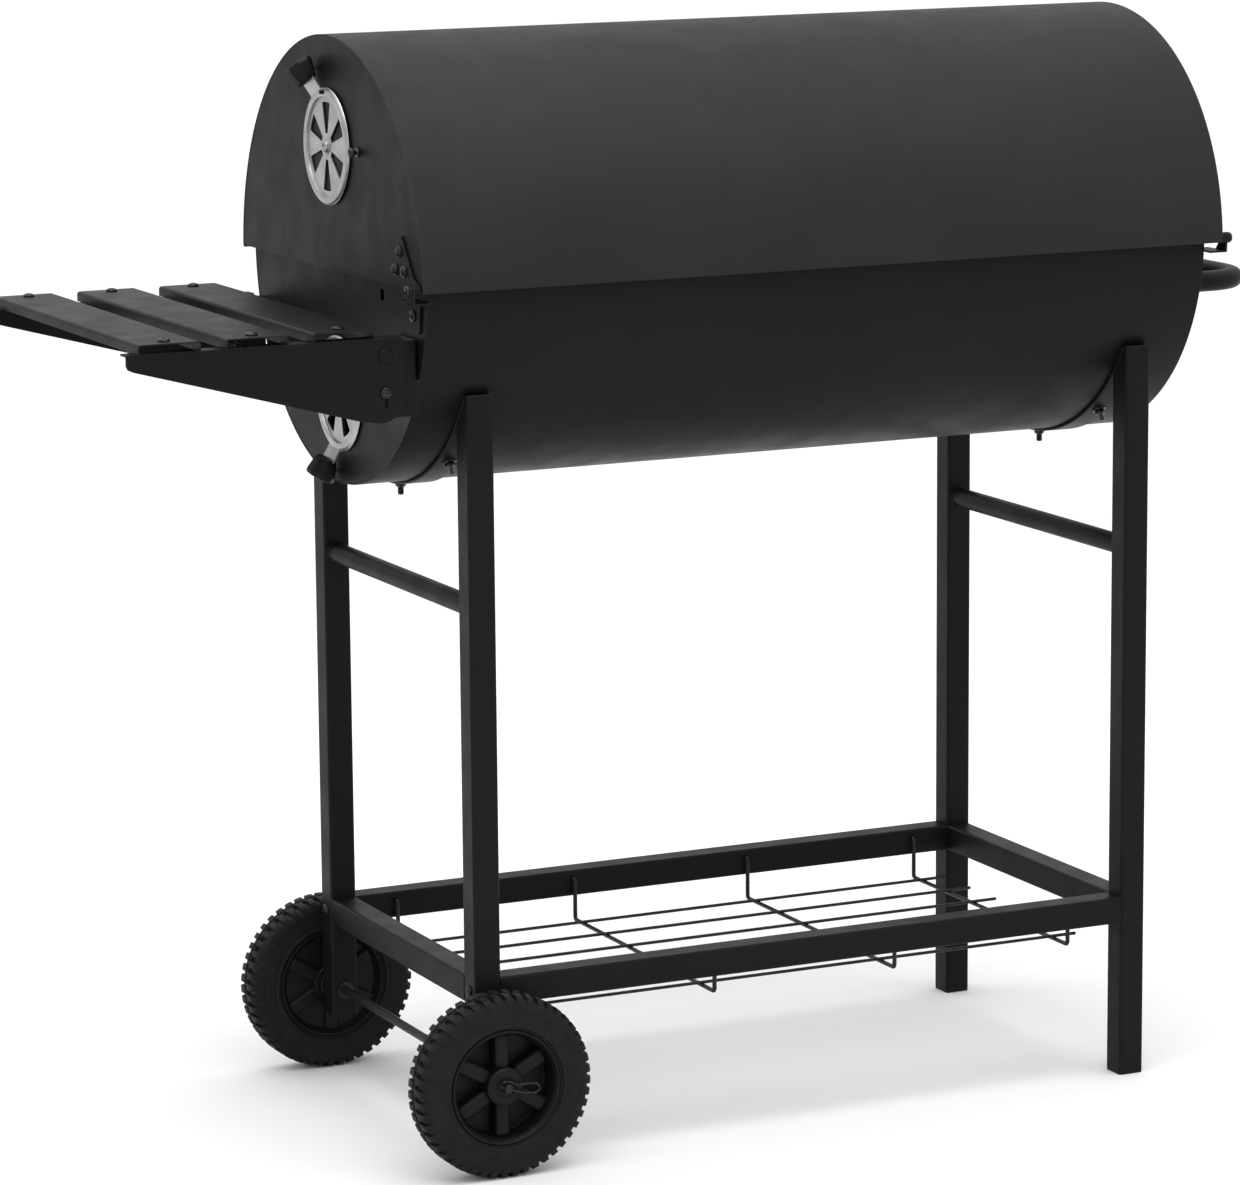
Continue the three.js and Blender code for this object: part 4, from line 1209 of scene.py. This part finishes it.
def make_bracket(side, word):
    node = f"shelf_bracket_{word}_side"
    low, high = local_box(node)
    outer = high.y if side > 0 else -low.y
    near, far = span(side, outer - STRIP, outer)
    x0, x1 = low.x, high.x
    corner = arc(20, math.radians(188), math.radians(278), 10, (x0 + 20, low.z + 20))
    outline = [*corner, (x0 + 42, low.z + 3.5), (x1 - 6, 726.4), (x1 - 1.5, 728.5), (x1, 732),
               (x1, high.z), (x0, high.z)]
    web = bmesh.new()
    prism(web, [outline], near, far, ALONG_Y)
    keyhole = bmesh.new()
    x, z = bracket_bolt_spots(x0)[1]
    ring = arc(2.1, math.pi, math.tau, 10, (x, z - 12))
    prism(keyhole, [[*ring, (x + 2.1, z - 5), (x - 2.1, z - 5)]], near - 3, far + 3, ALONG_Y)
    web = combine(web, [keyhole], "DIFFERENCE")
    flange = bmesh.new()
    y0, y1 = span(side, outer - 14, outer)
    box(flange, x0, x1, y0, y1, high.z - STRIP, high.z)
    bm = combine(web, [flange], "UNION")
    soften(bm, 0.45)
    piece(f"{node}_plate", bm, COAT, "grill", [node])
    heads = (CARRIAGE_HEAD, PAN_HEAD)
    for i, (x, z) in enumerate(bracket_bolt_spots(x0)):
        fasten(f"shelf_bolt_{word}_{i + 1}", heads[i], "grill", (x, side * outer, z),
               outward(side, "y"), 0.7)
        back = side * (outer - 2 * STRIP - 0.3)
        fasten(f"shelf_bolt_nut_{word}_{i + 1}", NUT, "grill", (x, back, z), outward(-side, "y"), 0.2 + i)


def bracket_bolt_spots(x0):
    return ((x0 + 16, 726), (x0 + 16, 694))


def make_shelf_mount(side, word):
    """A bent angle: one leg on the drum's end plate and the other beside the bracket."""
    node = f"shelf_mount_{word}_side"
    low, high = local_box(node)
    outer = high.y if side > 0 else -low.y
    inner = low.y if side > 0 else -high.y
    half = STRIP / 2
    bend_radius = 2.4
    path = [(low.x + half, inner)]
    centre = (low.x + half + bend_radius, outer - half - bend_radius)
    path += arc(bend_radius, math.pi, math.pi / 2, 6, centre)
    path += [(high.x, outer - half)]
    outline = Matrix(((1, 0, 0, 0), (0, side, 0, 0), (0, 0, 1, 0), (0, 0, 0, 1)))
    bm = bmesh.new()
    ribbon(bm, path, STRIP, (702, 704, 735, 737), outline)
    lower = bmesh.new()
    tab = [(low.x + 0.2, 674), (low.x + 3, 672), (high.x - 4, 672), (high.x, 676), (high.x, 703),
           (low.x + 0.2, 703)]
    prism(lower, [tab], *span(side, outer - STRIP, outer), ALONG_Y)
    bm = combine(bm, [lower], "UNION")
    soften(bm, 0.4)
    piece(f"{node}_angle", bm, COAT, "grill", [node])
    for i, y in enumerate((145, 160)):
        spot = (low.x + STRIP, side * y, 719.5)
        fasten(f"shelf_mount_bolt_{word}_{i + 1}", PAN_HEAD, "grill", spot, "+x", 0.8 * i)


for i in range(3):
    make_slat(f"shelf_slat_{i + 1}")
for side, word in SIDES:
    make_bracket(side, word)
    make_shelf_mount(side, word)


# ---- Push handle ----
def make_push_handle():
    low, high = local_box("push_handle")
    radius = PUSH_HANDLE_RADIUS
    height = (low.z + high.z) / 2
    y = high.y - radius
    x = low.x + radius
    root = -DRUM_END
    bm = bmesh.new()
    rod(bm, [(root, -y, height), (x, -y, height), (x, y, height), (root, y, height)], radius, 36, 48, 20)
    for side in (1, -1):
        weld(bm, [(root - 0.4, side * y + a, height + b) for a, b in circle(radius + 0.2, 36)])
    piece("push_handle_bar", bm, COAT, "grill", ["push_handle"])


make_push_handle()


# ---- Grates ----
def make_grate(node, material, bar_pitch):
    """Round bars across the grate inside a round-cornered frame, over two cross bars."""
    radius = GRATE_WIRE
    low, high = local_box(node)
    height = (low.z + high.z) / 2
    bm = bmesh.new()
    x0, x1 = low.x + radius, high.x - radius
    y0, y1 = low.y + radius, high.y - radius
    corner = 8
    loop = []
    for cx, cy, start in ((x1 - corner, y1 - corner, 0), (x0 + corner, y1 - corner, 90),
                          (x0 + corner, y0 + corner, 180), (x1 - corner, y0 + corner, 270)):
        loop += arc(corner, math.radians(start), math.radians(start + 90), 8, (cx, cy))
    sweep(bm, [(a, b, height) for a, b in loop], circle(radius, 14), True)
    count = round((x1 - x0) / bar_pitch)
    for i in range(1, count):
        x = x0 + (x1 - x0) * i / count
        rod(bm, [(x, y0, height), (x, y1, height)], radius * 0.86, 12)
    for y in (-0.42, 0.42):
        level = height - radius * 0.3
        rod(bm, [(x0, y * (y1 - y0), level), (x1, y * (y1 - y0), level)], radius * 0.8, 12)
    piece(f"{node}_bars", bm, material, node, [node])


make_grate("cooking_grate_shelf_side", GRATE, 15)
make_grate("cooking_grate_handle_side", GRATE, 15)
make_grate("charcoal_grate", COAT, 24)


# ---- CAD nodes that stay as they are ----
for node in ("grate_ledge_hinge_side", "grate_ledge_cook_side", "lid_rest_shelf_side",
             "lid_rest_handle_side"):
    kept = frame["nodes"][node]
    kept.data.materials.clear()
    kept.data.materials.append(COAT)
    edges = kept.modifiers.new("soft_edges", "BEVEL")
    edges.width = 0.0004
    edges.segments = 2
    edges.limit_method = "ANGLE"


# ---- Floor, light and camera ----
def make_floor():
    bm = bmesh.new()
    bmesh.ops.create_grid(bm, x_segments=1, y_segments=1, size=60)
    mesh = bpy.data.meshes.new("floor")
    bm.to_mesh(mesh)
    bm.free()
    material, tree, shader = new_material("floor")
    tint = spread(tree, noise(tree, 3, 2), 0, 1)
    colour = mix_colour(tree, tint, [0.735] * 3, [0.745] * 3)
    tree.links.new(colour, shader.inputs["Base Color"])
    shader.inputs["Roughness"].default_value = 0.9
    shader.inputs["Specular IOR Level"].default_value = 0.1
    mesh.materials.append(material)
    floor = bpy.data.objects.new("floor", mesh)
    bpy.context.scene.collection.objects.link(floor)


def add_softbox(name, place_m, aim_m, size, power):
    light = bpy.data.lights.new(name, "AREA")
    light.shape = "RECTANGLE"
    light.size, light.size_y = size
    light.energy = power
    obj = bpy.data.objects.new(name, light)
    obj.location = place_m
    obj.rotation_euler = (Vector(aim_m) - Vector(place_m)).to_track_quat("-Z", "Y").to_euler()
    bpy.context.scene.collection.objects.link(obj)


HORIZON_LIGHT = 0.62
ZENITH_LIGHT = 1.8


def make_studio():
    world = bpy.data.worlds.new("studio")
    bpy.context.scene.world = world
    world.use_nodes = True
    tree = world.node_tree
    coordinates = tree.nodes.new("ShaderNodeTexCoord")
    split = tree.nodes.new("ShaderNodeSeparateXYZ")
    tree.links.new(coordinates.outputs["Generated"], split.inputs["Vector"])
    background = tree.nodes["Background"]
    background.inputs["Color"].default_value = (1, 1, 1, 1)
    strength = spread(tree, split.outputs["Z"], HORIZON_LIGHT, ZENITH_LIGHT, 0, 1)
    tree.links.new(strength, background.inputs["Strength"])
    add_softbox("overhead", (0.4, 0.6, 3.2), (0, 0, 0.6), (3.2, 2.4), 60)
    bpy.context.scene.view_settings.view_transform = "Standard"


CAMERA_PLACE = (2041.8, 4068.7, 1298.1)  # millimetres from the ground under the drum's middle
CAMERA_YAW = 0.4428  # about the vertical, from straight along -Y
CAMERA_PITCH = -0.1826
CAMERA_ROLL = -0.0086
CAMERA_LENS = 145.73  # for a sensor 36 mm wide


def make_camera():
    data = bpy.data.cameras.new("camera")
    data.sensor_width = 36
    data.lens = CAMERA_LENS
    data.clip_end = 100
    level = Vector((-math.sin(CAMERA_YAW), -math.cos(CAMERA_YAW), 0))
    forward = level * math.cos(CAMERA_PITCH) + Vector((0, 0, math.sin(CAMERA_PITCH)))
    right = Vector((-math.cos(CAMERA_YAW), math.sin(CAMERA_YAW), 0))
    up = right.cross(forward)
    rolled_right = right * math.cos(CAMERA_ROLL) + up * math.sin(CAMERA_ROLL)
    rolled_up = up * math.cos(CAMERA_ROLL) - right * math.sin(CAMERA_ROLL)
    turn = Matrix((rolled_right, rolled_up, -forward)).transposed().to_4x4()
    camera = bpy.data.objects.new("camera", data)
    camera.matrix_world = at(*(Vector(CAMERA_PLACE) * MM + ORIGIN)) @ turn
    bpy.context.scene.collection.objects.link(camera)
    bpy.context.scene.camera = camera


make_floor()
make_studio()
make_camera()

bpy.context.view_layer.update()
